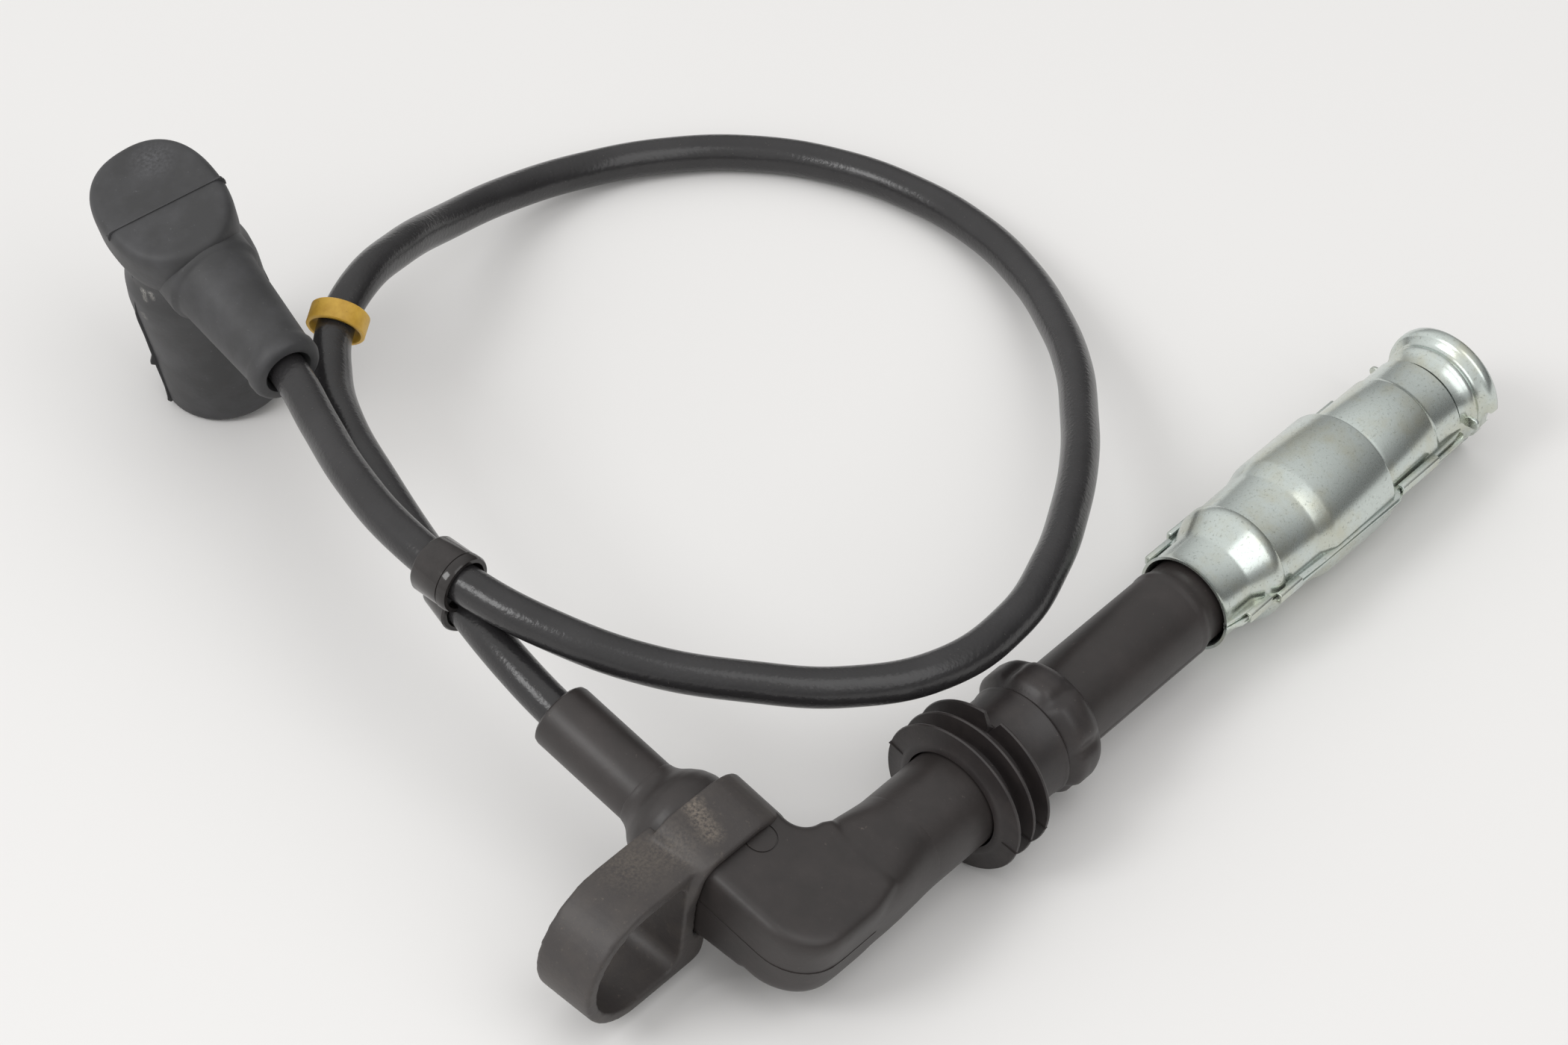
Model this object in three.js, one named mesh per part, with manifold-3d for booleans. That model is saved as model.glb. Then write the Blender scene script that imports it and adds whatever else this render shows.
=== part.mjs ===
// An ignition lead: a long elbowed plug connector in a stamped steel shield, a looped
// 7 mm cable with a marker ring and a routing clip, and a rubber boot for the coil tower.
// Millimetres, +Z up. The plug end points along +X, and the part lies on Z = 0 on the
// lips of its well seal, the rim of the contact ring and the edge of the coil boot.
import * as THREE from "three";
import { mergeVertices } from "three/addons/utils/BufferGeometryUtils.js";
import Module from "manifold-3d";

const wasm = await Module();
wasm.setup();

const degrees = THREE.MathUtils.degToRad;
const GAP = 0.3; // clearance between pieces that touch
const ROUND = 36; // facets round a turned piece
const FINE = 18; // facets round a small turned piece

// Where the pieces lie
// Puts the origin under the middle of all but the cable.
const ORIGIN_SHIFT = new THREE.Vector3(8.05, -14.06, 0.062);
const ELBOW_CORNER = new THREE.Vector3(-80, -73.75, 15.18);
const CONNECTOR_DROP = degrees(1.14); // the plug end dips, because the rim is smaller than the seal
const ARM_RISE = degrees(14.6); // the cable outlet rises out of the elbow
const SHIELD_ROLL = degrees(17); // the seam of the shield lies level, with the arm rising
const BOOT_BASE = new THREE.Vector3(-39.9, 102.2, 3.05);
const BOOT_LEAN = degrees(14.3);
const BOOT_LEAN_HEADING = degrees(193.2);
const OUTLET_HEADING = degrees(-104.9);

// Plug connector, measured along its shaft from the elbow corner and out along its arm
const SHAFT_RADIUS = 9.15;
const FRONT_SHAFT_RADIUS = 8.35;
const NECK_RADIUS = 7.9;
const SEAL_Z = 39.3;
const FRONT_SHAFT_Z = 50.2;
const SHIELD_Z = 101.3;
const SHIELD_END_Z = 169;
const INSULATOR_END_Z = 166;
const RIM_Z = 178.3;
const ARM_HALF_HEIGHT = 9.2;
const ARM_FLAT_SIDE = 8.9;
const ARM_ROUND_SIDE = 9.4;
const BAND_X = 13.7;
const BAND_WIDTH = 11.3;
const BAND_END_X = BAND_X + BAND_WIDTH;
const SHOULDER_END_X = 33.2;
const SHOULDER_RADIUS = 9.9;
const SLEEVE_RADIUS = 6;
const SLEEVE_END_X = 54.5;
const SHEET = 0.55;

// Cable
const CABLE_RADIUS = 3.5;
const CABLE_SIDES = 10;
const CABLE_STEPS = 78;
const CABLE_BORE = CABLE_RADIUS + GAP;
const CABLE_END_X = 31; // how far out along the arm the cable ends
const CABLE_ROUTE = [
  [-54, 82.5, 40.7],
  [-56.7, 71, 39.4],
  [-58.7, 62.5, 38.4],
  [-64, 50, 38],
  [-70.3, 35.5, 39.3],
  [-74.8, 19.5, 40],
  [-75.8, 2.5, 39.5],
  [-73, -13.5, 38],
  [-66.5, -29, 35.5],
  [-57, -42.5, 33.5],
  [-45.5, -54.5, 31.5],
  [-31, -63, 30.5],
  [-14, -64, 29.5],
  [2, -59, 27.5],
  [16.5, -51.5, 24.5],
  [30.5, -42.5, 21],
  [43, -32.5, 17],
  [55, -21.5, 13.5],
  [65.5, -8.5, 10],
  [74, 5.5, 7],
  [79.5, 21.5, 5],
  [80.5, 38, 4],
  [77, 54.5, 3.75],
  [69, 69.5, 3.75],
  [57, 81.5, 4],
  [42.5, 89.5, 5],
  [25, 92.2, 9],
  [7, 90.3, 15],
  [-11, 85.1, 23],
  [-26, 80, 27.2],
  [-35.1, 76.4, 25.9],
  [-45.5, 66.8, 27],
  [-55.8, 52.6, 30.5],
  [-63.5, 36.5, 32.5],
  [-69.5, 21, 32.5],
  [-74.8, 5, 32.5],
  [-78.8, -11, 31.3],
  [-79.7, -21, 28.9],
  [-79.8, -32.5, 25.9],
  [-79.8, -43.8, 23],
];

// Coil boot, measured up its barrel and out along its outlet
const BARREL_RADIUS = 12.35;
const OUTLET_H = 41;
const OUTLET_LENGTH = 37.7;
const CAP_LOW = 39;
const CAP_TOP = 51;
const BOOT_CABLE_X = 18; // how far out the cable ends inside the outlet

// Finishes
const finishes = {
  moulding: { color: 0x3a3634, roughness: 0.55, metalness: 0 },
  band: { color: 0x45403c, roughness: 0.65, metalness: 0 },
  sealRubber: { color: 0x2f2b29, roughness: 0.6, metalness: 0 },
  bootRubber: { color: 0x45464a, roughness: 0.8, metalness: 0 },
  silicone: { color: 0x6e3a2c, roughness: 0.6, metalness: 0 },
  cable: { color: 0x2b2b2c, roughness: 0.45, metalness: 0 },
  zinc: { color: 0xb4b9b4, roughness: 0.35, metalness: 0.9 },
  brass: { color: 0xb99a55, roughness: 0.35, metalness: 0.9 },
  springSteel: { color: 0x9a9a98, roughness: 0.3, metalness: 0.9 },
  ceramic: { color: 0xd8d2c4, roughness: 0.5, metalness: 0 },
  yellow: { color: 0xc79e2b, roughness: 0.55, metalness: 0 },
  clipPlastic: { color: 0x2a2827, roughness: 0.3, metalness: 0 },
};

function piece(name, finish, body) {
  const mesh = body.getMesh();
  const geometry = new THREE.BufferGeometry();
  geometry.setAttribute("position", new THREE.BufferAttribute(mesh.vertProperties, 3));
  geometry.setIndex(new THREE.BufferAttribute(mesh.triVerts, 1));
  geometry.computeVertexNormals();
  const made = new THREE.Mesh(geometry, new THREE.MeshStandardMaterial(finishes[finish]));
  made.name = name;
  return made;
}

// A closed geometry as a solid that can be joined and cut.
function solid(geometry) {
  const bare = new THREE.BufferGeometry();
  bare.setAttribute("position", geometry.getAttribute("position"));
  bare.setIndex(geometry.index);
  const merged = mergeVertices(bare, 1e-4);
  const vertProperties = new Float32Array(merged.getAttribute("position").array);
  const triVerts = new Uint32Array(merged.index.array);
  return new wasm.Manifold(new wasm.Mesh({ numProp: 3, vertProperties, triVerts }));
}

// A solid of revolution about Z, from [z, radius] points that close on the axis or on themselves.
function turned(profile, facets = ROUND) {
  const points = profile.map(([z, radius]) => new THREE.Vector2(radius, z));
  if (THREE.ShapeUtils.area(points) < 0) points.reverse();
  if (points[0].x > 0) points.push(points[0].clone());
  return solid(new THREE.LatheGeometry(points, facets).rotateX(Math.PI / 2));
}

// The same, about X: the points are [x, radius].
function turnedAlongX(profile, facets = ROUND) {
  return turned(profile, facets).rotate([0, 90, 0]);
}

// A prism of an outline, along Z, with its edges rounded by the bevel inside its size.
function prism(outline, low, high, bevel = 0, curveSegments = 6) {
  const geometry = new THREE.ExtrudeGeometry(outline, {
    depth: high - low - 2 * bevel,
    bevelEnabled: bevel > 0,
    bevelThickness: bevel,
    bevelSize: bevel,
    bevelOffset: -bevel,
    bevelSegments: 2,
    curveSegments,
  });
  return solid(geometry.translate(0, 0, low + bevel));
}

// Outlines for a prism along X are drawn with (side, up), where side points along -Z.
function prismAlongX(outline, low, high, bevel = 0) {
  return prism(outline, low, high, bevel).rotate([0, 90, 0]);
}

// Outlines for a prism across Y are drawn with (x, z), and it is centred on Y = 0.
function prismAcrossY(outline, halfHeight, bevel = 0) {
  return prism(outline, -halfHeight, halfHeight, bevel).rotate([90, 0, 0]);
}

function box(width, depth, height, x, y, z) {
  return solid(new THREE.BoxGeometry(width, depth, height).translate(x, y, z));
}

// Joins closed rings of points, each listed anticlockwise, into one capped solid.
function lofted(rings) {
  const count = rings[0].length;
  const corners = rings.flat();
  const index = [];
  for (let k = 0; k < rings.length - 1; k++) {
    for (let i = 0; i < count; i++) {
      const a = k * count + i;
      const b = k * count + ((i + 1) % count);
      index.push(a, b, b + count, a, b + count, a + count);
    }
  }
  const low = corners.length;
  const high = low + 1;
  const last = (rings.length - 1) * count;
  for (const ring of [rings[0], rings.at(-1)]) {
    const middle = new THREE.Vector3();
    ring.forEach((corner) => middle.addScaledVector(corner, 1 / count));
    corners.push(middle);
  }
  for (let i = 0; i < count; i++) {
    const next = (i + 1) % count;
    index.push(low, next, i, high, last + i, last + next);
  }
  const geometry = new THREE.BufferGeometry().setFromPoints(corners);
  geometry.setIndex(index);
  return solid(geometry);
}

// A ring across Z that goes from a circle at power 2 to a rounded square at higher powers.
function squircle(z, halfX, halfY, power, count = ROUND) {
  return Array.from({ length: count }, (_, i) => {
    const angle = (2 * Math.PI * i) / count;
    const x = Math.sign(Math.cos(angle)) * Math.abs(Math.cos(angle)) ** (2 / power);
    const y = Math.sign(Math.sin(angle)) * Math.abs(Math.sin(angle)) ** (2 / power);
    return new THREE.Vector3(halfX * x, halfY * y, z);
  });
}

// A rod of round section along a curve.
function rod(curve, radius, sides, steps) {
  const section = new THREE.Shape();
  for (let i = 0; i < sides; i++) {
    const angle = (2 * Math.PI * i) / sides;
    const x = radius * Math.cos(angle);
    const y = radius * Math.sin(angle);
    if (i === 0) section.moveTo(x, y);
    else section.lineTo(x, y);
  }
  return solid(new THREE.ExtrudeGeometry(section, { steps, extrudePath: curve }));
}

class Helix extends THREE.Curve {
  constructor(radius, low, high, turns) {
    super();
    Object.assign(this, { radius, low, high, turns });
  }
  getPoint(t, target = new THREE.Vector3()) {
    const angle = 2 * Math.PI * this.turns * t;
    const z = this.low + (this.high - this.low) * t;
    return target.set(this.radius * Math.cos(angle), this.radius * Math.sin(angle), z);
  }
}

// The section of the arm, drawn with (side, up): its flat side meets the pull loop.
function armOutline(grow = 0) {
  const flat = ARM_FLAT_SIDE + grow;
  const round = -ARM_ROUND_SIDE - grow;
  const half = ARM_HALF_HEIGHT + grow;
  const tight = 2.5 + grow;
  const wide = 7.5 + grow;
  const outline = new THREE.Shape();
  outline.moveTo(round + wide, -half);
  outline.lineTo(flat - tight, -half);
  outline.absarc(flat - tight, -half + tight, tight, -Math.PI / 2, 0);
  outline.absarc(flat - tight, half - tight, tight, 0, Math.PI / 2);
  outline.absarc(round + wide, half - wide, wide, Math.PI / 2, Math.PI);
  outline.absarc(round + wide, -half + wide, wide, Math.PI, 1.5 * Math.PI);
  return outline;
}

// The elbow seen from above, drawn with (x, z): rounded outside, with a fillet in the corner.
function elbowOutline() {
  const outline = new THREE.Shape();
  outline.moveTo(BAND_X, -ARM_FLAT_SIDE);
  outline.lineTo(BAND_X, ARM_ROUND_SIDE);
  outline.quadraticCurveTo(9.6, 9.8, SHAFT_RADIUS, 14.5);
  outline.lineTo(-SHAFT_RADIUS + 1.5, 14.5);
  outline.lineTo(-SHAFT_RADIUS, 9);
  outline.lineTo(-SHAFT_RADIUS, 1);
  outline.absellipse(0.5, 0, SHAFT_RADIUS + 0.5, ARM_FLAT_SIDE, Math.PI, 1.5 * Math.PI);
  return outline;
}

// The elbow, its arm and sleeve, the shaft and the insulating tube inside the shield: one moulding.
function elbowHousing() {
  const half = 8.2;
  const elbow = prismAcrossY(elbowOutline(), half, 2.5).translate([0, ARM_HALF_HEIGHT - half, 0]);
  const blend = lofted([
    squircle(2, 9.2, ARM_HALF_HEIGHT, 5),
    squircle(9, 9.25, ARM_HALF_HEIGHT + 0.02, 4.2),
    squircle(15, SHAFT_RADIUS + 0.05, SHAFT_RADIUS + 0.02, 2.9),
    squircle(21, SHAFT_RADIUS, SHAFT_RADIUS, 2.1),
    squircle(24, SHAFT_RADIUS - 0.02, SHAFT_RADIUS - 0.02, 2),
  ]);
  const shaft = turned([
    [20, 0],
    [20, SHAFT_RADIUS],
    [FRONT_SHAFT_Z - 0.8, SHAFT_RADIUS - 0.05],
    [FRONT_SHAFT_Z, FRONT_SHAFT_RADIUS],
    [96.4, FRONT_SHAFT_RADIUS],
    [97.3, FRONT_SHAFT_RADIUS + 0.15],
    [98.2, FRONT_SHAFT_RADIUS - 0.05],
    [99.4, NECK_RADIUS],
    [110.5, NECK_RADIUS],
    [117, 9.7],
    [126, 9.8],
    [134, 10.9],
    [145.6, 10.9],
    [145.6, 9],
    [158.8, 9],
    [158.8, 8.1],
    [INSULATOR_END_Z - 0.6, 8.1],
    [INSULATOR_END_Z, 7.5],
    [INSULATOR_END_Z, 0],
  ]);
  const arm = prismAlongX(armOutline(), 5, BAND_END_X + GAP);
  const shoulder = turnedAlongX([
    [20, 0],
    [20, 9],
    [BAND_END_X + GAP, 9],
    [BAND_END_X + GAP, SHOULDER_RADIUS],
    [27.2, 9.8],
    [29.2, 9.1],
    [30.8, 8],
    [32, 6.9],
    [SHOULDER_END_X, 6.25],
    [34.6, SLEEVE_RADIUS],
    [SLEEVE_END_X - 0.9, SLEEVE_RADIUS],
    [SLEEVE_END_X - 0.25, SLEEVE_RADIUS - 0.25],
    [SLEEVE_END_X, SLEEVE_RADIUS - 0.9],
    [SLEEVE_END_X, 0],
  ]);
  const web = new THREE.Shape();
  web.moveTo(7, 8);
  web.lineTo(13.6, 8);
  web.lineTo(13.4, 12.5);
  web.lineTo(8.5, 20);
  web.lineTo(7, 20);
  const cornerWeb = prismAcrossY(web, 1);
  const shaftBore = turned([
    [-4, 0],
    [-4, 4.2],
    [112, 4.2],
    [113.2, 5.6],
    [151.9, 5.6],
    [152, 7],
    [INSULATOR_END_Z + 1, 7],
    [INSULATOR_END_Z + 1, 0],
  ]);
  const armBore = turnedAlongX(
    [
      [0, 0],
      [0, CABLE_BORE],
      [SLEEVE_END_X - 1, CABLE_BORE],
      [SLEEVE_END_X + 0.2, CABLE_BORE + 0.8],
      [SLEEVE_END_X + 2, CABLE_BORE + 0.8],
      [SLEEVE_END_X + 2, 0],
    ],
    FINE,
  );
  const outside = elbow.add(blend).add(shaft).add(arm).add(shoulder).add(cornerWeb);
  return outside.subtract(shaftBore).subtract(armBore);
}

// The brass corner piece: a stem to the cable's core, and a foot for the first spring.
function elbowContact() {
  const foot = turned(
    [
      [-3.7, 0],
      [-3.7, 3.3],
      [-3.1, 3.8],
      [4, 3.8],
      [4.6, 3.2],
      [4.6, 1.2],
      [7, 1.2],
      [7, 0],
    ],
    FINE,
  );
  const stem = turnedAlongX(
    [
      [0, 0],
      [0, 1.7],
      [26, 1.7],
      [27.5, 3.2],
      [CABLE_END_X - GAP, 3.2],
      [CABLE_END_X - GAP, 0],
    ],
    FINE,
  );
  return foot.add(stem);
}

function spring(low, high, turns) {
  const coilRadius = 2.9;
  const wireRadius = 0.4;
  const stepsPerTurn = 10;
  const curve = new Helix(coilRadius, low + wireRadius, high - wireRadius, turns);
  return rod(curve, wireRadius, 5, turns * stepsPerTurn);
}

// The cup on each end of the resistor: closed at the outer end.
function resistorCap(outer, inner) {
  const bottom = outer + 0.8 * Math.sign(inner - outer);
  return turned(
    [
      [outer, 0],
      [outer, 3.4],
      [inner, 3.4],
      [inner, 3],
      [bottom, 3],
      [bottom, 0],
    ],
    FINE,
  );
}

// The slotted socket that grips the plug's terminal nut.
function plugContact() {
  const socket = turned(
    [
      [113.6, 0],
      [113.6, 4.4],
      [114.6, 4.9],
      [119.1, 4.9],
      [119.1, 4.3],
      [121, 4.3],
      [121, 4.9],
      [127, 4.9],
      [128, 4.6],
      [128, 3.7],
      [124.5, 3.3],
      [116, 3.3],
      [116, 0],
    ],
    FINE,
  );
  const slotWidth = 0.8;
  const slot = box(12, slotWidth, 11, 0, 0, 123.5);
  return socket.subtract(slot).subtract(slot.rotate([0, 0, 90]));
}

function contactClip() {
  const ring = turned(
    [
      [119.55, 4.62],
      [119.8, 5.15],
      [120.3, 5.15],
      [120.55, 4.62],
    ],
    FINE,
  );
  return ring.subtract(box(6, 1.6, 4, 5, 0, 120));
}

// The rubber throat in the mouth, which closes on the plug's own insulator.
function insulatorSeal() {
  return turned(
    [
      [152.3, 5.7],
      [152.3, 6.7],
      [INSULATOR_END_Z + GAP, 6.7],
      [INSULATOR_END_Z + GAP, 7.6],
      [INSULATOR_END_Z + 1.3, 7.6],
      [INSULATOR_END_Z + 1.8, 7],
      [INSULATOR_END_Z + 1.8, 6.2],
      [164, 5.1],
      [162.4, 5.7],
      [158, 5.1],
      [156.4, 5.7],
    ],
    FINE,
  );
}

// The lobed collar of the well seal: wide soft lobes round it, with narrow valleys between them.
function lobedCollar() {
  const lobes = 7;
  const firstValley = degrees(98.4);
  const valleyDepth = 0.9;
  const stations = [
    [57.2, 9.9, 0],
    [58, 10.6, 0.2],
    [58.8, 11.5, 0.8],
    [59.8, 12, 1],
    [62.8, 12, 1],
    [64.3, 11.5, 0.8],
    [65.5, 10.3, 0.1],
  ];
  const count = 84;
  return lofted(
    stations.map(([z, radius, share]) =>
      Array.from({ length: count }, (_, i) => {
        const angle = (2 * Math.PI * i) / count;
        const valley = ((1 + Math.cos(lobes * (angle - firstValley))) / 2) ** 6;
        const r = radius - share * valleyDepth * valley;
        return new THREE.Vector3(r * Math.cos(angle), r * Math.sin(angle), z);
      }),
    ),
  );
}

// The rubber seal on the shaft: three thin lips, a sleeve and a lobed collar.
function wellSeal() {
  const lip = 14.35;
  const root = 10.8;
  const neck = 10.3;
  const lipPitch = 3.8;
  const thirdLip = SEAL_Z + 2 * lipPitch;
  const lips = [0, 1, 2].map((i) => {
    const z = SEAL_Z + i * lipPitch;
    return turned([
      [z - 0.5, root - 1],
      [z - 0.5, root],
      [z - 0.15, root + 0.6],
      [z, lip - 0.15],
      [z + 0.3, lip],
      [z + 0.6, lip - 0.15],
      [z + 0.75, root + 0.6],
      [z + 1.1, root],
      [z + 1.1, root - 1],
    ]);
  });
  const sleeve = turned([
    [SEAL_Z - 0.7, 9.5],
    [SEAL_Z - 0.7, 10.1],
    [SEAL_Z - 0.3, 10.4],
    [SEAL_Z, root],
    [thirdLip + 1.2, root],
    [thirdLip + 1.8, neck],
    [56.4, neck],
    [57.4, neck - 0.5],
    [65.6, 9.6],
    [65.6, 0],
    [SEAL_Z - 0.7, 0],
  ]);
  const notch = new THREE.Shape();
  notch.moveTo(0, root);
  notch.lineTo(2.4, lip + 1);
  notch.lineTo(-2.4, lip + 1);
  const cutNotch = prism(notch, thirdLip - 1, thirdLip + 1.6).rotate([0, 0, -9]);
  const bore = turned([
    [SEAL_Z - 2, 0],
    [SEAL_Z - 2, SHAFT_RADIUS + GAP],
    [FRONT_SHAFT_Z + 0.4, SHAFT_RADIUS + GAP],
    [FRONT_SHAFT_Z + 0.9, FRONT_SHAFT_RADIUS + GAP],
    [68, FRONT_SHAFT_RADIUS + GAP],
    [68, 0],
  ]);
  const joined = lips.reduce((body, next) => body.add(next), sleeve.add(lobedCollar()));
  return joined.subtract(cutNotch).subtract(bore);
}

// The stepped outside of the stamped shield, and the inside that its sheet leaves.
const SHIELD_OUTSIDE = [
  [SHIELD_Z, 9.4],
  [SHIELD_Z + 0.7, 9.05],
  [109, 9.1],
  [113.8, 11.2],
  [115.6, 11.3],
  [115.9, 10.9],
  [125.6, 11.05],
  [129.8, 12.05],
  [146.2, 12.05],
  [147, 10.4],
  [161.6, 10.2],
  [162.4, 9.95],
  [SHIELD_END_Z, 9.9],
];
const SHIELD_INSIDE = [
  [SHIELD_Z - 1, 8.8],
  [SHIELD_Z + 0.7, 8.5],
  [109.2, 8.5],
  [113.8, 10.55],
  [115.4, 10.7],
  [115.6, 10.3],
  [125.8, 10.45],
  [129.9, 11.5],
  [145.7, 11.5],
  [146.5, 9.85],
  [161.5, 9.65],
  [162.3, 9.4],
  [SHIELD_END_Z + 1, 9.35],
];

function filled(profile) {
  return turned([[profile[0][0], 0], ...profile, [profile.at(-1)[0], 0]]);
}

// A flange on both sides, from [z, half width] points, its sheet between low and high.
function flangePlate(edge, low, high) {
  const outline = new THREE.Shape();
  outline.moveTo(-edge[0][1], edge[0][0]);
  edge.slice(1).forEach(([z, half]) => outline.lineTo(-half, z));
  edge.toReversed().forEach(([z, half]) => outline.lineTo(half, z));
  const thickness = high - low;
  return prismAcrossY(outline, thickness / 2).translate([0, (low + high) / 2, 0]);
}

const SEAM = GAP / 2;
const UPPER_FLANGE = [
  [SHIELD_Z, 9.4],
  [106, 10.2],
  [112, 11],
  [118, 12],
  [126, 12.3],
  [147.3, 12.5],
  [149, 11.2],
  [166, 10.8],
  [SHIELD_END_Z, 10],
];
const LOWER_FLANGE = [
  [SHIELD_Z, 9.4],
  [104, 10.8],
  [106, 11],
  [118, 12.2],
  [147.3, 12.6],
  [149, 11.8],
  [SHIELD_END_Z - 1.5, 11.6],
  [SHIELD_END_Z, 10.6],
];
// Each tab: where it starts and ends along the shaft, how far out its folded wall stands,
// and how wide its hem is.
const TABS = [
  [105.2, 111.4, 11.7, 1.2],
  [112.5, 118.6, 12.7, 1.1],
  [148.8, 159.6, 12.1, 1.4],
];

function shieldHalf(side) {
  const walls = filled(SHIELD_OUTSIDE);
  const flange = side > 0 ? UPPER_FLANGE : LOWER_FLANGE;
  const edges = [side * SEAM, side * (SEAM + SHEET)].sort((a, b) => a - b);
  const plate = flangePlate(flange, edges[0], edges[1]);
  const keep = box(60, 30, 120, 0, side * (15 + SEAM), 140);
  return walls.add(plate).intersect(keep).subtract(filled(SHIELD_INSIDE));
}

function shieldUpper() {
  const room = TABS.map(([low, high, out]) => {
    const stop = out - SHEET - GAP;
    const length = high - low + 2 * GAP;
    const cut = box(4, 3, length, stop + 2, 0.5, (low + high) / 2);
    return cut.add(cut.mirror([1, 0, 0]));
  });
  return room.reduce((body, cut) => body.subtract(cut), shieldHalf(1));
}

// Tabs of the lower half's flange fold up round the edge of the upper half's flange.
function shieldLower() {
  const hemLow = SEAM + SHEET + GAP;
  const tabs = TABS.map(([low, high, out, hemWidth]) => {
    const hook = new THREE.Shape();
    hook.moveTo(out - 1.4, -SEAM - SHEET);
    hook.lineTo(out - 0.3, -SEAM - SHEET);
    hook.lineTo(out, -SEAM - SHEET + 0.3);
    hook.lineTo(out, hemLow + SHEET - 0.25);
    hook.lineTo(out - 0.25, hemLow + SHEET);
    hook.lineTo(out - hemWidth, hemLow + SHEET);
    hook.lineTo(out - hemWidth, hemLow);
    hook.lineTo(out - SHEET, hemLow);
    hook.lineTo(out - SHEET, -SEAM);
    hook.lineTo(out - 1.4, -SEAM);
    const tab = prism(hook, low, high);
    return tab.add(tab.mirror([1, 0, 0]));
  });
  return tabs.reduce((body, tab) => body.add(tab), shieldHalf(-1));
}

// The spun ring that meets the plug: a tube under the shield's end, a bead, a groove and a rolled
// rim, which is broken out over a short arc.
function contactRing() {
  const ring = turned([
    [159.4, 9.05],
    [168.6, 9.05],
    [169.8, 9.3],
    [172.4, 9.4],
    [173, 10],
    [174, 10.1],
    [174.7, 9.75],
    [175.5, 10.2],
    [176.2, 11.3],
    [176.6, 11.6],
    [RIM_Z - 0.2, 11.6],
    [RIM_Z, 11.45],
    [RIM_Z, 10.4],
    [177.2, 10.4],
    [176.4, 10],
    [175.3, 9.5],
    [174.7, 9.1],
    [173.8, 9.4],
    [173.1, 9.3],
    [172.5, 8.85],
    [169.8, 8.75],
    [168.6, 8.5],
    [159.4, 8.5],
  ]);
  const ear = new THREE.Shape();
  ear.moveTo(8.9, -0.4);
  ear.lineTo(11.8, 0);
  ear.absarc(11.8, 1.1, 1.1, -Math.PI / 2, Math.PI / 2);
  ear.lineTo(10.9, 2.2);
  ear.lineTo(8.9, 1);
  const earSolid = prism(ear, 169.5, 170.1);
  const bore = turned([
    [168, 0],
    [168, 8.75],
    [172, 8.78],
    [172, 0],
  ]);
  const ears = earSolid.add(earSolid.mirror([1, 0, 0])).subtract(bore);
  const brokenOut = new THREE.Shape();
  brokenOut.absarc(0, 0, 10.2, degrees(176), degrees(240), false);
  brokenOut.absarc(0, 0, 14, degrees(238), degrees(178), true);
  return ring.subtract(prism(brokenOut, 175.4, RIM_Z + 1)).add(ears);
}

// A closed band round the arm that runs on into a finger ring.
function pullLoop() {
  const wall = 2.2;
  const fingerEnd = 34.6;
  const fingerHalf = 12.8;
  const fingerDrop = -3.8;
  const fingerTilt = 9; // degrees that the finger ring is turned back towards level
  const fingerSide = 0.5; // how much wider it is than the band, on the elbow's side
  const middle = BAND_X + BAND_WIDTH / 2;
  const fingerRing = (grow, start, bevel) => {
    const half = fingerHalf - grow;
    const bend = fingerEnd - fingerHalf;
    const corner = 3;
    const outline = new THREE.Shape();
    outline.moveTo(start + corner, -half);
    outline.lineTo(bend, -half);
    outline.absarc(bend, 0, half, -Math.PI / 2, Math.PI / 2);
    outline.lineTo(start + corner, half);
    outline.absarc(start + corner, half - corner, corner, Math.PI / 2, Math.PI);
    outline.absarc(start + corner, -half + corner, corner, Math.PI, 1.5 * Math.PI);
    const reach = BAND_WIDTH / 2 + (grow > 0 ? 3 : 0);
    return prismAlongX(outline, -reach - fingerSide, reach, bevel)
      .rotate([0, 0, -fingerTilt])
      .translate([middle, fingerDrop, 0]);
  };
  const armBand = prismAlongX(armOutline(wall), BAND_X, BAND_END_X, 0.5);
  const armHole = prismAlongX(armOutline(GAP), BAND_X - 8, BAND_END_X + 8);
  const fingerHole = fingerRing(wall, ARM_FLAT_SIDE + wall + 1, 0);
  const shoulderRoom = turnedAlongX([
    [BAND_END_X, 0],
    [BAND_END_X, SHOULDER_RADIUS + GAP],
    [BAND_END_X + 6, SHOULDER_RADIUS + GAP],
    [BAND_END_X + 6, 0],
  ]);
  const holes = armHole.add(fingerHole).add(shoulderRoom);
  return armBand.add(fingerRing(0, 6, 0.5)).subtract(holes);
}

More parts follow.
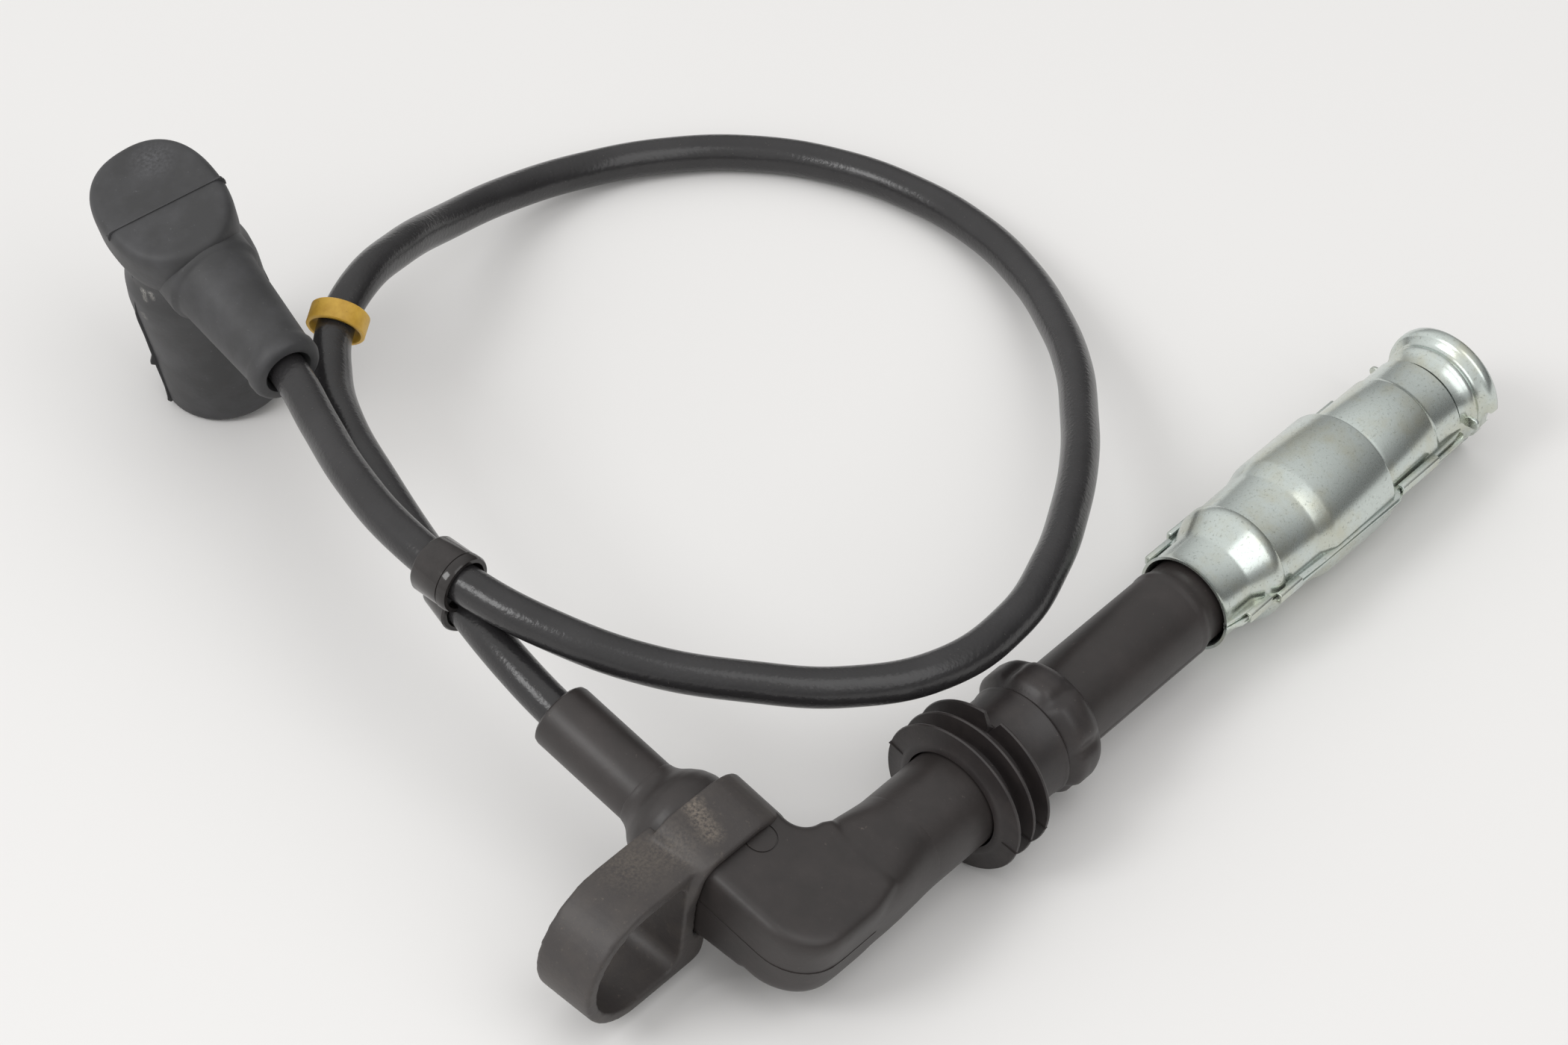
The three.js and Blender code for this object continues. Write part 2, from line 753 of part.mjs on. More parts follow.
// The boot over the coil tower: a barrel, an oblong head and a tapered cable outlet, one moulding.
function coilBoot() {
  const barrel = turned([
    [0, 0],
    [0, BARREL_RADIUS - 0.5],
    [0.5, BARREL_RADIUS],
    [18, BARREL_RADIUS - 0.2],
    [29, BARREL_RADIUS - 0.1],
    [33, BARREL_RADIUS - 0.5],
    [37, BARREL_RADIUS - 1.6],
    [42, BARREL_RADIUS - 2],
    [42, 0],
  ]);
  const cap = lofted([
    squircle(CAP_LOW - 1, 10.5, 9, 2.2),
    squircle(CAP_LOW + 0.3, 12.6, 10.4, 2.3),
    squircle(CAP_LOW + 3, 14.3, 11.3, 2.4),
    squircle(CAP_TOP - 3.2, 14.6, 11.5, 2.4),
    squircle(CAP_TOP - 1.2, 14.3, 11.2, 2.4),
    squircle(CAP_TOP - 0.3, 13.5, 10.4, 2.4),
    squircle(CAP_TOP, 12.4, 9.4, 2.4),
  ]).translate([-2, -0.4, 0]);
  const outlet = turnedAlongX([
    [0, 0],
    [0, 8.6],
    [12.6, 8.6],
    [13.8, 7.9],
    [OUTLET_LENGTH - 4, 6.4],
    [OUTLET_LENGTH - 2.6, 6.7],
    [OUTLET_LENGTH - 0.9, 6.6],
    [OUTLET_LENGTH, 5.7],
    [OUTLET_LENGTH, 0],
  ]).translate([0, 0, OUTLET_H]);
  const cavity = turned([
    [-1, 0],
    [-1, 8.8],
    [28, 8.6],
    [30, 7],
    [30.5, 4.3],
    [OUTLET_H + 3.5, 4.3],
    [OUTLET_H + 3.5, 0],
  ]);
  const bore = turnedAlongX(
    [
      [0, 0],
      [0, CABLE_BORE],
      [OUTLET_LENGTH - 1.2, CABLE_BORE],
      [OUTLET_LENGTH + 1, CABLE_BORE + 0.8],
      [OUTLET_LENGTH + 1, 0],
    ],
    FINE,
  ).translate([0, 0, OUTLET_H]);
  return barrel.add(cap).add(outlet).subtract(cavity).subtract(bore);
}

// The angled brass terminal in the boot: a slotted socket below, a crimped stem along the outlet.
function coilTerminal() {
  const socket = turned(
    [
      [13, 2.6],
      [13, 3.3],
      [14, 3.7],
      [36, 3.7],
      [OUTLET_H + 2.6, 3.7],
      [OUTLET_H + 3.1, 3.2],
      [OUTLET_H + 3.1, 0],
      [32, 0],
      [32, 2.6],
    ],
    FINE,
  );
  const stem = turnedAlongX(
    [
      [0, 0],
      [0, 2.2],
      [13, 2.2],
      [14.5, 3.2],
      [BOOT_CABLE_X - GAP, 3.2],
      [BOOT_CABLE_X - GAP, 0],
    ],
    FINE,
  ).translate([0, 0, OUTLET_H]);
  const slotWidth = 0.9;
  return socket.add(stem).subtract(box(10, slotWidth, 16, 0, 0, 20));
}

// A short cylinder round a point of the cable, along it.
function placedAlong(body, point, direction) {
  const turn = new THREE.Quaternion().setFromUnitVectors(
    new THREE.Vector3(0, 0, 1),
    direction.clone().normalize(),
  );
  const matrix = new THREE.Matrix4().compose(point, turn, new THREE.Vector3(1, 1, 1));
  return body.transform(matrix.elements);
}

function leadCable() {
  const points = CABLE_ROUTE.map((point) => new THREE.Vector3(...point));
  const route = new THREE.CatmullRomCurve3(points, false, "centripetal");
  return rod(route, CABLE_RADIUS, CABLE_SIDES, CABLE_STEPS);
}

// The split marker ring, which hangs askew on the cable.
function markerRing() {
  const place = new THREE.Vector3(-34.4, 76.8, 25.9);
  const direction = new THREE.Vector3(-0.835, -0.425, -0.35);
  const outside = wasm.Manifold.cylinder(4, 5.5, 5.5, 32, true);
  const inside = wasm.Manifold.cylinder(6, 4.75, 4.75, 32, true);
  const slit = box(3, 0.5, 6, -4.9, 0, 0);
  return placedAlong(outside.subtract(inside).subtract(slit), place, direction);
}

// The routing clip: one ring round each of the two cable runs that cross there.
function cableClip() {
  const upperRun = [new THREE.Vector3(-75.7, 6, 39.7), new THREE.Vector3(0, -1, -0.03)];
  const lowerRun = [new THREE.Vector3(-73.9, 7.5, 32.5), new THREE.Vector3(-0.3, -0.95, -0.02)];
  const drum = (radius, length) => wasm.Manifold.cylinder(length, radius, radius, 32, true);
  const upper = placedAlong(drum(5.4, 8.5), ...upperRun);
  const lower = placedAlong(drum(5, 7), ...lowerRun);
  const upperBore = placedAlong(drum(CABLE_BORE + 0.2, 40), ...upperRun);
  const lowerBore = placedAlong(drum(CABLE_BORE + 0.1, 40), ...lowerRun);
  return upper.add(lower).subtract(upperBore).subtract(lowerBore);
}

// The connector's own frame: Z along the shaft to the plug, X out along the arm.
function connectorGroup() {
  const group = new THREE.Group();
  const resistor = [
    [21.6, 0],
    [21.6, 2.7],
    [91.8, 2.7],
    [91.8, 0],
  ];
  const toPlug = new THREE.Vector3(Math.cos(CONNECTOR_DROP), 0, -Math.sin(CONNECTOR_DROP));
  const level = new THREE.Vector3(0, 1, 0);
  const up = new THREE.Vector3().crossVectors(toPlug, level);
  const alongArm = level.multiplyScalar(Math.cos(ARM_RISE)).addScaledVector(up, Math.sin(ARM_RISE));
  const across = new THREE.Vector3().crossVectors(toPlug, alongArm);
  group.setRotationFromMatrix(new THREE.Matrix4().makeBasis(alongArm, across, toPlug));
  group.position.copy(ELBOW_CORNER);
  const shield = new THREE.Group();
  shield.rotation.z = -SHIELD_ROLL;
  shield.add(
    piece("shield_shell_upper", "zinc", shieldUpper()),
    piece("shield_shell_lower", "zinc", shieldLower()),
    piece("contact_ring", "zinc", contactRing()),
  );
  group.add(
    piece("elbow_housing", "moulding", elbowHousing()),
    piece("elbow_contact", "brass", elbowContact()),
    piece("contact_spring_rear", "springSteel", spring(7.3, 20, 5)),
    piece("resistor_cap_rear", "brass", resistorCap(20.4, 28)),
    piece("resistor_rod", "ceramic", turned(resistor, FINE)),
    piece("resistor_cap_front", "brass", resistorCap(93, 85.4)),
    piece("contact_spring_front", "springSteel", spring(93.4, 113.2, 7)),
    piece("plug_contact", "brass", plugContact()),
    piece("contact_clip", "springSteel", contactClip()),
    piece("insulator_seal", "silicone", insulatorSeal()),
    piece("well_seal", "sealRubber", wellSeal()),
    piece("pull_loop", "band", pullLoop()),
    shield,
  );
  return group;
}

// The boot's own frame: Z up the barrel, X out along the outlet.
function bootGroup() {
  const group = new THREE.Group();
  const upBarrel = new THREE.Vector3(
    Math.sin(BOOT_LEAN) * Math.cos(BOOT_LEAN_HEADING),
    Math.sin(BOOT_LEAN) * Math.sin(BOOT_LEAN_HEADING),
    Math.cos(BOOT_LEAN),
  );
  const heading = new THREE.Vector3(Math.cos(OUTLET_HEADING), Math.sin(OUTLET_HEADING), 0);
  const across = new THREE.Vector3().crossVectors(upBarrel, heading).normalize();
  const alongOutlet = new THREE.Vector3().crossVectors(across, upBarrel);
  group.setRotationFromMatrix(new THREE.Matrix4().makeBasis(alongOutlet, across, upBarrel));
  group.position.copy(BOOT_BASE);
  group.add(
    piece("coil_boot", "bootRubber", coilBoot()),
    piece("coil_terminal", "brass", coilTerminal()),
  );
  return group;
}

const lead = new THREE.Group();
lead.name = "spark_plug_wire";
lead.position.copy(ORIGIN_SHIFT);
lead.add(
  connectorGroup(),
  bootGroup(),
  piece("lead_cable", "cable", leadCable()),
  piece("marker_ring", "yellow", markerRing()),
  piece("cable_clip", "clipPlastic", cableClip()),
);

export default lead;
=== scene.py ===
# %% [markdown]
# # An ignition lead in Blender
# The object is a spark plug wire from a family car: a long elbowed connector in a steel shield, a
# looped 7 mm cable with a yellow marker ring and a clip, and a rubber boot that sits on the coil.
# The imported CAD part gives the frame. Every piece that shows is modelled again here, rounder and
# with its finish, in the place of the CAD node that it stands for. All sizes are written in
# millimetres and turned to metres by one factor.

from math import atan2, cos, hypot, radians, sin

import bmesh
import bpy
from mathutils import Matrix, Vector


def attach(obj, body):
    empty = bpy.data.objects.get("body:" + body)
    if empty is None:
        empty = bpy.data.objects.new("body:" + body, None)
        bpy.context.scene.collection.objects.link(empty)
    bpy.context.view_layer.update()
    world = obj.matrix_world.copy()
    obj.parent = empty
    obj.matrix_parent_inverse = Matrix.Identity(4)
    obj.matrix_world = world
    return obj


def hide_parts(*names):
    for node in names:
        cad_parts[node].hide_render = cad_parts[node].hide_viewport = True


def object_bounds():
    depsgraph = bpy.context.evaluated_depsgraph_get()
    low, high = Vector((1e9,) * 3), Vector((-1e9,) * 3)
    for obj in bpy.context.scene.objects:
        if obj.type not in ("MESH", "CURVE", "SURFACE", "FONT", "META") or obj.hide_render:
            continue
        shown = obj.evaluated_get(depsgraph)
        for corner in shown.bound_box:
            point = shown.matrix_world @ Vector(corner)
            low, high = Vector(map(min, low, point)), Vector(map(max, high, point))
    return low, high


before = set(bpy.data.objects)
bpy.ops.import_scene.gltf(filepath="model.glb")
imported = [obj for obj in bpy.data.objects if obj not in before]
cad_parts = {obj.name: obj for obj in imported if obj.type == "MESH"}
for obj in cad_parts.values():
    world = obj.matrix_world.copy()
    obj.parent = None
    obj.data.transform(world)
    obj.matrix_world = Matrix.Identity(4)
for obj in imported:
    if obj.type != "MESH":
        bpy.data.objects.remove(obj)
cad_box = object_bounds()
MM = 0.001
box_size = [round((b - a) / MM, 1) for a, b in zip(*cad_box)]
print(len(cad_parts), "CAD nodes in a box of", box_size, "mm")

# %% [markdown]
# ## The camera
# The photograph looks down on the table at about 45 degrees through a long lens, so shapes keep
# nearly the same size from front to back. The camera comes first. It is placed by its direction and
# distance from a point of the table, which is also the point that all the drawn sizes start from.

# %% Place the camera
TABLE_POINT = Vector((8.05, -14.06, 0.062)) * MM
VIEW_TURN = radians(48.36)
VIEW_TILT = radians(44.82)
VIEW_DISTANCE = 873.7 * MM
SENSOR_WIDTH = 36
LENS = 111.43
forward = cos(VIEW_TILT)
looking = Vector((forward * sin(VIEW_TURN), forward * cos(VIEW_TURN), -sin(VIEW_TILT)))
bpy.ops.object.camera_add(
    location=TABLE_POINT - VIEW_DISTANCE * looking,
    rotation=looking.to_track_quat("-Z", "Y").to_euler(),
)
camera = bpy.context.object
camera.name = "camera"
camera.data.sensor_width = SENSOR_WIDTH
camera.data.lens = LENS
bpy.context.scene.camera = camera
print("camera at", [round(c / MM) for c in camera.location], "mm")

# %% [markdown]
# ## The cable
# An ignition cable is a stiff rubber hose round a thin conductor, so it lies in wide even bends.
# It leaves the coil boot, makes one big loop, passes back under itself in the clip, and goes into
# the elbow. Its centreline is a smooth curve through the same points as the CAD rod, and a round
# bevel gives it its thickness.

# %% Lay the cable
CABLE_RADIUS = 3.5
CABLE_ROUTE = [
    (-54, 82.5, 40.7),
    (-56.7, 71, 39.4),
    (-58.7, 62.5, 38.4),
    (-64, 50, 38),
    (-70.3, 35.5, 39.3),
    (-74.8, 19.5, 40),
    (-75.8, 2.5, 39.5),
    (-73, -13.5, 38),
    (-66.5, -29, 35.5),
    (-57, -42.5, 33.5),
    (-45.5, -54.5, 31.5),
    (-31, -63, 30.5),
    (-14, -64, 29.5),
    (2, -59, 27.5),
    (16.5, -51.5, 24.5),
    (30.5, -42.5, 21),
    (43, -32.5, 17),
    (55, -21.5, 13.5),
    (65.5, -8.5, 10),
    (74, 5.5, 7),
    (79.5, 21.5, 5),
    (80.5, 38, 4),
    (77, 54.5, 3.75),
    (69, 69.5, 3.75),
    (57, 81.5, 4),
    (42.5, 89.5, 5),
    (25, 92.2, 9),
    (7, 90.3, 15),
    (-11, 85.1, 23),
    (-26, 80, 27.2),
    (-35.1, 76.4, 25.9),
    (-45.5, 66.8, 27),
    (-55.8, 52.6, 30.5),
    (-63.5, 36.5, 32.5),
    (-69.5, 21, 32.5),
    (-74.8, 5, 32.5),
    (-78.8, -11, 31.3),
    (-79.7, -21, 28.9),
    (-79.8, -32.5, 25.9),
    (-79.8, -43.8, 23),
]
bpy.ops.object.select_all(action="DESELECT")
bpy.ops.curve.primitive_bezier_curve_add(location=(0, 0, 0))
cable = bpy.context.object
cable.name = "cable_jacket"
cable.data.splines.clear()
spline = cable.data.splines.new("BEZIER")
spline.bezier_points.add(len(CABLE_ROUTE) - 1)
for knot, place in zip(spline.bezier_points, CABLE_ROUTE):
    knot.co = TABLE_POINT + Vector(place) * MM
    knot.handle_left_type = "AUTO"
    knot.handle_right_type = "AUTO"
spline.resolution_u = 12
cable.data.dimensions = "3D"
cable.data.bevel_depth = CABLE_RADIUS * MM
cable.data.bevel_resolution = 12
cable.data.use_fill_caps = True
print("cable of", len(CABLE_ROUTE), "points")

# %% [markdown]
# ## Frames to build in
# The connector and the boot lie at odd angles on the table. Each is modelled upright at the
# world's origin, where sizes are easy to read, and then seated: its mesh is moved to its place and
# the object stays at the origin, as the CAD nodes do. The frames come before the finishes, because
# some wear is noted by its place on a piece.

# %% Where the connector and the boot lie
def frame_of(along, across, up, place):
    """The matrix that carries X, Y and Z to three directions at a place in millimetres."""
    turn = Matrix((along, across, up)).transposed().to_4x4()
    return Matrix.Translation(TABLE_POINT + Vector(place) * MM) @ turn


def spot(matrix, x, y, z):
    """A point of a frame, from millimetres."""
    return matrix @ (Vector((x, y, z)) * MM)


CONNECTOR_DROP = radians(1.14)
ARM_RISE = radians(14.6)
SEAM_TURN = radians(-17)
to_plug = Vector((cos(CONNECTOR_DROP), 0, -sin(CONNECTOR_DROP)))
level = Vector((0, 1, 0))
above = to_plug.cross(level)
along_arm = level * cos(ARM_RISE) + above * sin(ARM_RISE)
CONNECTOR = frame_of(along_arm, to_plug.cross(along_arm), to_plug, (-80, -73.75, 15.18))
SHIELD = CONNECTOR @ Matrix.Rotation(SEAM_TURN, 4, "Z")
ALONG_X = Matrix.Rotation(radians(90), 4, "Y")
ACROSS_Y = Matrix.Rotation(radians(90), 4, "X")
ARM = CONNECTOR @ ALONG_X

BOOT_LEAN = radians(14.3)
LEAN_HEADING = radians(193.2)
OUTLET_HEADING = radians(-104.9)
sideways = sin(BOOT_LEAN)
up_barrel = Vector((sideways * cos(LEAN_HEADING), sideways * sin(LEAN_HEADING), cos(BOOT_LEAN)))
boot_across = up_barrel.cross(Vector((cos(OUTLET_HEADING), sin(OUTLET_HEADING), 0))).normalized()
BOOT = frame_of(boot_across.cross(up_barrel), boot_across, up_barrel, (-39.9, 102.2, 3.05))
print("arm points along", [round(c, 2) for c in along_arm])

# %% [markdown]
# ## Colours and nodes
# The finishes are procedural. Colours are noted as the hex values of a colour picker and turned to
# the linear light that a shader reads. One small function adds a node with its settings and links.
# Patterns read Object coordinates, which are metres, so a noise scale is one over its grain size.
# The real dust, grit and metal grain is finer than a pixel of this view, so it is drawn half a
# millimetre to a millimetre coarse, which is as fine as still shows.

# %% Colour and node helpers
def linear(code):
    """A #rrggbb colour as linear light with full alpha."""
    channels = [int(code[i : i + 2], 16) / 255 for i in (1, 3, 5)]
    return (*[c / 12.92 if c <= 0.04045 else ((c + 0.055) / 1.055) ** 2.4 for c in channels], 1)


def add_node(material, kind, inputs, **settings):
    """Adds a shader node. An input is given a value, or another node's output to link from."""
    made = material.node_tree.nodes.new(kind)
    for name, value in settings.items():
        setattr(made, name, value)
    for name, value in inputs.items():
        if isinstance(value, bpy.types.NodeSocket):
            material.node_tree.links.new(value, made.inputs[name])
        else:
            made.inputs[name].default_value = value
    return made


def grains(millimetres):
    """The noise scale that gives grains of this size."""
    return 1 / (millimetres * MM)


print("soft black is", [round(c, 4) for c in linear("#2b2b2c")])

# %% [markdown]
# Most finishes share one plan: a base colour, a second colour that shows in patches, small specks
# of dust or wear in a third, and a fine bump. Some pieces also carry marks: a colour that shows in
# grains round one spot, such as a scuff. One function draws that plan from the real sizes, and each
# material below is named for what it is made of and how it was made.

# %% The shared plan of a moulded or plated surface
A, B, FACTOR, COLOUR = 6, 7, 0, 2  # sockets of a Mix node that mixes colours
FULL_MARK = 0.2  # the share of its reach within which a mark is full


def surface(name, base, patches, specks, roughness, bump, marks=(), metallic=0.0):
    """
    patches and specks are (colour, grain mm, lowest noise that shows, fullest), roughness is
    (between specks, on specks), bump is (grain mm, height mm), and each of marks is (colour,
    grain mm, spot in metres, reach mm).
    """
    material = bpy.data.materials.new(name)
    material.use_nodes = True
    shader = material.node_tree.nodes["Principled BSDF"]
    place = add_node(material, "ShaderNodeTexCoord", {}).outputs["Object"]

    def field(grain, low, high):
        noise = add_node(
            material,
            "ShaderNodeTexNoise",
            {"Vector": place, "Scale": grains(grain), "Detail": 4.0, "Roughness": 0.6},
        )
        limits = {"Value": noise.outputs[0], "From Min": low, "From Max": high}
        return add_node(material, "ShaderNodeMapRange", limits).outputs[0]

    def tinted(under, tint, share):
        inputs = {FACTOR: share, A: under, B: linear(tint)}
        return add_node(material, "ShaderNodeMix", inputs, data_type="RGBA").outputs[COLOUR]

    colour = tinted(linear(base), patches[0], field(*patches[1:]))
    wear = field(*specks[1:])
    colour = tinted(colour, specks[0], wear)
    for tint, grain, centre, reach in marks:
        ends = {0: place, 1: centre}
        apart = add_node(material, "ShaderNodeVectorMath", ends, operation="DISTANCE")
        limits = {"Value": apart.outputs["Value"], "From Min": reach * MM}
        limits["From Max"] = FULL_MARK * reach * MM
        near = add_node(material, "ShaderNodeMapRange", limits).outputs[0]
        grainy = field(grain, 0.35, 0.75)
        share = add_node(material, "ShaderNodeMath", {0: near, 1: grainy}, operation="MULTIPLY")
        colour = tinted(colour, tint, share.outputs[0])
    gloss = {"Value": wear, "To Min": roughness[0], "To Max": roughness[1]}
    texture = {"Vector": place, "Scale": grains(bump[0]), "Detail": 3.0}
    fine = add_node(material, "ShaderNodeTexNoise", texture).outputs[0]
    relief = {"Height": fine, "Distance": bump[1] * MM, "Strength": 1.0}
    links = material.node_tree.links
    links.new(colour, shader.inputs["Base Color"])
    rough = add_node(material, "ShaderNodeMapRange", gloss).outputs[0]
    links.new(rough, shader.inputs["Roughness"])
    links.new(add_node(material, "ShaderNodeBump", relief).outputs[0], shader.inputs["Normal"])
    shader.inputs["Metallic"].default_value = metallic
    print(name, "mottled every", patches[1], "mm, specked every", specks[1], "mm")
    return material


# %% [markdown]
# The cable's jacket is extruded silicone rubber, satin black, with the braid below it faintly
# telegraphing through. Handling leaves it slightly dusty, so its roughness changes in patches.

# %% Cable jacket
cable_rubber = surface(
    "extruded_silicone_black",
    base="#272627",
    patches=("#2f2e2f", 11, 0.4, 0.75),
    specks=("#45423f", 0.7, 0.66, 0.8),
    roughness=(0.24, 0.4),
    bump=(0.75, 0.07),
)
cable.data.materials.append(cable_rubber)

# %% [markdown]
# The elbow and its shaft are moulded in a filled, heat proof plastic, black brown with a low
# sheen. The finger loop and the seal are rubber: the loop is browner and scuffed tan where hands
# pull it, and the seal is nearly black, with pale specks of dust. The coil boot is the greyest and
# dustiest rubber of them all, with two torn, whitened spots under its head. The throat inside the
# shield is red brown silicone.

# %% Moulded plastic and rubbers
elbow_plastic = surface(
    "moulded_polyester_black_brown",
    base="#2b2726",
    patches=("#342f2e", 8, 0.4, 0.72),
    specks=("#5d5550", 0.8, 0.68, 0.8),
    roughness=(0.42, 0.6),
    bump=(1.1, 0.025),
)
loop_rubber = surface(
    "moulded_rubber_scuffed_brown",
    base="#3b3736",
    patches=("#443f3c", 6, 0.42, 0.7),
    specks=("#5d564f", 0.9, 0.62, 0.8),
    roughness=(0.5, 0.7),
    bump=(0.7, 0.04),
    marks=[
        ("#80766b", 0.5, spot(CONNECTOR, 24, 11.4, -2.6), 2.8),
        ("#80766b", 0.5, spot(CONNECTOR, 21.3, 11.4, -3.4), 2.8),
        ("#776e64", 0.5, spot(CONNECTOR, 18.4, 11.4, -4.2), 3),
        ("#5b544d", 0.5, spot(CONNECTOR, 21, 9.8, -10), 6),
        ("#5b544d", 0.5, spot(CONNECTOR, 24, 9, -17), 8),
    ],
)
seal_rubber = surface(
    "moulded_rubber_black_brown",
    base="#2a2626",
    patches=("#332e2d", 5, 0.42, 0.7),
    specks=("#7d746c", 0.5, 0.7, 0.78),
    roughness=(0.42, 0.65),
    bump=(0.8, 0.025),
)
boot_rubber = surface(
    "moulded_rubber_dusty_grey",
    base="#353536",
    patches=("#434345", 9, 0.4, 0.72),
    specks=("#5e5e60", 0.8, 0.66, 0.8),
    roughness=(0.55, 0.75),
    bump=(0.9, 0.03),
    marks=[
        ("#cdcac4", 0.3, spot(BOOT, 3, -10.9, 36.9), 1.1),
        ("#bab7b1", 0.3, spot(BOOT, 3.2, -11, 36.1), 1),
        ("#b0ada8", 0.3, spot(BOOT, 3.5, -11.1, 35.2), 0.9),
        ("#c5c2bc", 0.3, spot(BOOT, 4.7, -10.2, 37.2), 1),
        ("#b5b2ac", 0.3, spot(BOOT, 5.1, -10.2, 36.4), 0.9),
        ("#8f8c88", 0.5, spot(BOOT, 2.4, -11.4, 30), 1.3),
        ("#58585b", 0.6, spot(BOOT, -10, 3, 51), 5),
    ],
)
throat_rubber = surface(
    "moulded_silicone_red_brown",
    base="#6a3427",
    patches=("#7b4334", 4, 0.4, 0.7),
    specks=("#8f6a58", 0.8, 0.66, 0.8),
    roughness=(0.45, 0.65),
    bump=(0.7, 0.05),
)

# %% [markdown]
# The shield is thin steel sheet, zinc plated and passivated: a pale metal with bluish green and
# faint yellow tints, a fine speckle and small dark pits. The contacts are brass and the springs
# are bright wire. The resistor's rod is bare ceramic.

# %% Metals and ceramic
zinc_steel = surface(
    "steel_sheet_zinc_plated",
    base="#cdd5d1",
    patches=("#c4c3ae", 8, 0.45, 0.8),
    specks=("#9ba19b", 0.5, 0.56, 0.8),
    roughness=(0.24, 0.36),
    bump=(0.6, 0.006),
    metallic=0.9,
)
contact_brass = surface(
    "brass_drawn",
    base="#c4a35a",
    patches=("#a58745", 3, 0.4, 0.7),
    specks=("#7d6638", 0.7, 0.62, 0.8),
    roughness=(0.25, 0.45),
    bump=(0.5, 0.02),
    metallic=1.0,
)
spring_wire = surface(
    "spring_steel_drawn",
    base="#a3a3a0",
    patches=("#8b8b88", 2, 0.4, 0.7),
    specks=("#6e6e6b", 0.5, 0.62, 0.8),
    roughness=(0.22, 0.4),
    bump=(0.4, 0.015),
    metallic=1.0,
)
bare_ceramic = surface(
    "steatite_unglazed",
    base="#d9d3c5",
    patches=("#cbc3b2", 3, 0.4, 0.7),
    specks=("#b3a894", 0.6, 0.64, 0.8),
    roughness=(0.5, 0.7),
    bump=(0.4, 0.02),
)

# %% [markdown]
# The marker ring is dyed plastic, rubbed and browned in patches. The clip is a glossy black brown
# plastic that shows clear highlights.

# %% Marker and clip plastics
marker_plastic = surface(
    "moulded_plastic_worn_yellow",
    base="#d3a943",
    patches=("#bd912f", 3, 0.42, 0.7),
    specks=("#8a6a2c", 0.7, 0.66, 0.8),
    roughness=(0.45, 0.65),
    bump=(0.5, 0.03),
)
clip_plastic = surface(
    "moulded_nylon_gloss_black_brown",
    base="#272423",
    patches=("#302c2b", 3, 0.42, 0.7),
    specks=("#4a443f", 0.7, 0.7, 0.8),
    roughness=(0.12, 0.3),
    bump=(2.0, 0.03),
)

# %% [markdown]
# ## Turned shapes
# Most of the connector is round. A circle is extruded up from station to station and resized at
# each one, which is what a lathe does to a bar. A filled circle keeps its cap on top and gives a
# solid bar. An open one is taken back down its inside and bridged, which gives a tube.

# %% Turn a piece from stations of height and radius
def start_piece(name):
    """Names the new primitive and opens it in edit mode, all selected."""
    piece = bpy.context.object
    piece.name = name
    piece.data.name = name
    bpy.ops.object.mode_set(mode="EDIT")
    bpy.ops.mesh.select_all(action="SELECT")
    return piece


def close_piece():
    """Turns all faces outwards and leaves edit mode."""
    bpy.ops.mesh.select_all(action="SELECT")
    bpy.ops.mesh.normals_make_consistent(inside=False)
    bpy.ops.object.mode_set(mode="OBJECT")


def turned(name, stations, hollow=False, around=96):
    """A round piece about Z through (height, radius) stations in millimetres."""
    bpy.ops.object.select_all(action="DESELECT")
    height, radius = stations[0]
    fill = "NOTHING" if hollow else "NGON"
    bpy.ops.mesh.primitive_circle_add(vertices=around, radius=radius * MM, fill_type=fill)
    piece = start_piece(name)
    bpy.ops.transform.translate(value=(0, 0, height * MM))
    for next_height, next_radius in stations[1:]:
        rise = (0, 0, (next_height - height) * MM)
        bpy.ops.mesh.extrude_region_move(TRANSFORM_OT_translate={"value": rise})
        grow = next_radius / radius
        bpy.ops.transform.resize(value=(grow, grow, 1), center_override=(0, 0, 0))
        height, radius = next_height, next_radius
    if hollow:
        bpy.ops.mesh.select_all(action="DESELECT")
        bpy.ops.mesh.select_non_manifold()
        bpy.ops.mesh.bridge_edge_loops()
    close_piece()
    return piece


# %% Select, reshape, lay and seat a piece
def choose(piece):
    """Makes a piece the only one selected, and active."""
    bpy.ops.object.select_all(action="DESELECT")
    piece.select_set(True)
    bpy.context.view_layer.objects.active = piece


def apply_modifier(piece, kind, **settings):
    """Adds a modifier with its settings and applies it."""
    choose(piece)
    modifier = piece.modifiers.new(kind.title(), kind)
    for name, value in settings.items():
        setattr(modifier, name, value)
    bpy.ops.object.modifier_apply(modifier=modifier.name)


def reshape(piece, moved):
    """Moves every point of a piece to where a function of its millimetres says."""
    for point in piece.data.vertices:
        point.co = Vector(moved(*(point.co / MM))) * MM


def lay(piece, matrix):
    """Moves a mesh by a matrix and leaves its object at the origin."""
    choose(piece)
    piece.matrix_world = matrix
    bpy.ops.object.transform_apply(location=True, rotation=True, scale=True)
    return piece


def join(pieces, name):
    """Puts pieces into one mesh as they are."""
    choose(pieces[0])
    for other in pieces[1:]:
        other.select_set(True)
    if len(pieces) > 1:
        bpy.ops.object.join()
    whole = bpy.context.object
    whole.name = name
    whole.data.name = name
    return whole


def seat(piece, matrix, material, node=None, smooth=40):
    """Moves a finished mesh to its place, shades it smooth, gives it its finish, hangs it under the
    root, and hides the CAD node that it stands for, if one is named.
    """
    lay(piece, matrix)
    bpy.ops.object.shade_smooth_by_angle(angle=radians(smooth))
    piece.data.materials.clear()
    piece.data.materials.append(material)
    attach(piece, "root")
    if node:
        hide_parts(node)
    print(piece.name, "has", len(piece.data.polygons), "faces")


# %% [markdown]
# ## The shaft
# From the elbow into the steel shield runs one long plastic tube. It is thickest at the elbow,
# steps down past the seal, has a soft ridge before the metal, and swells again inside the shield,
# where its bore takes the plug, so its wall also shows in the mouth at the plug's end. The two
# halves of its mould met a little out of line, and the lower half of the bare part stands out by a
# hair.

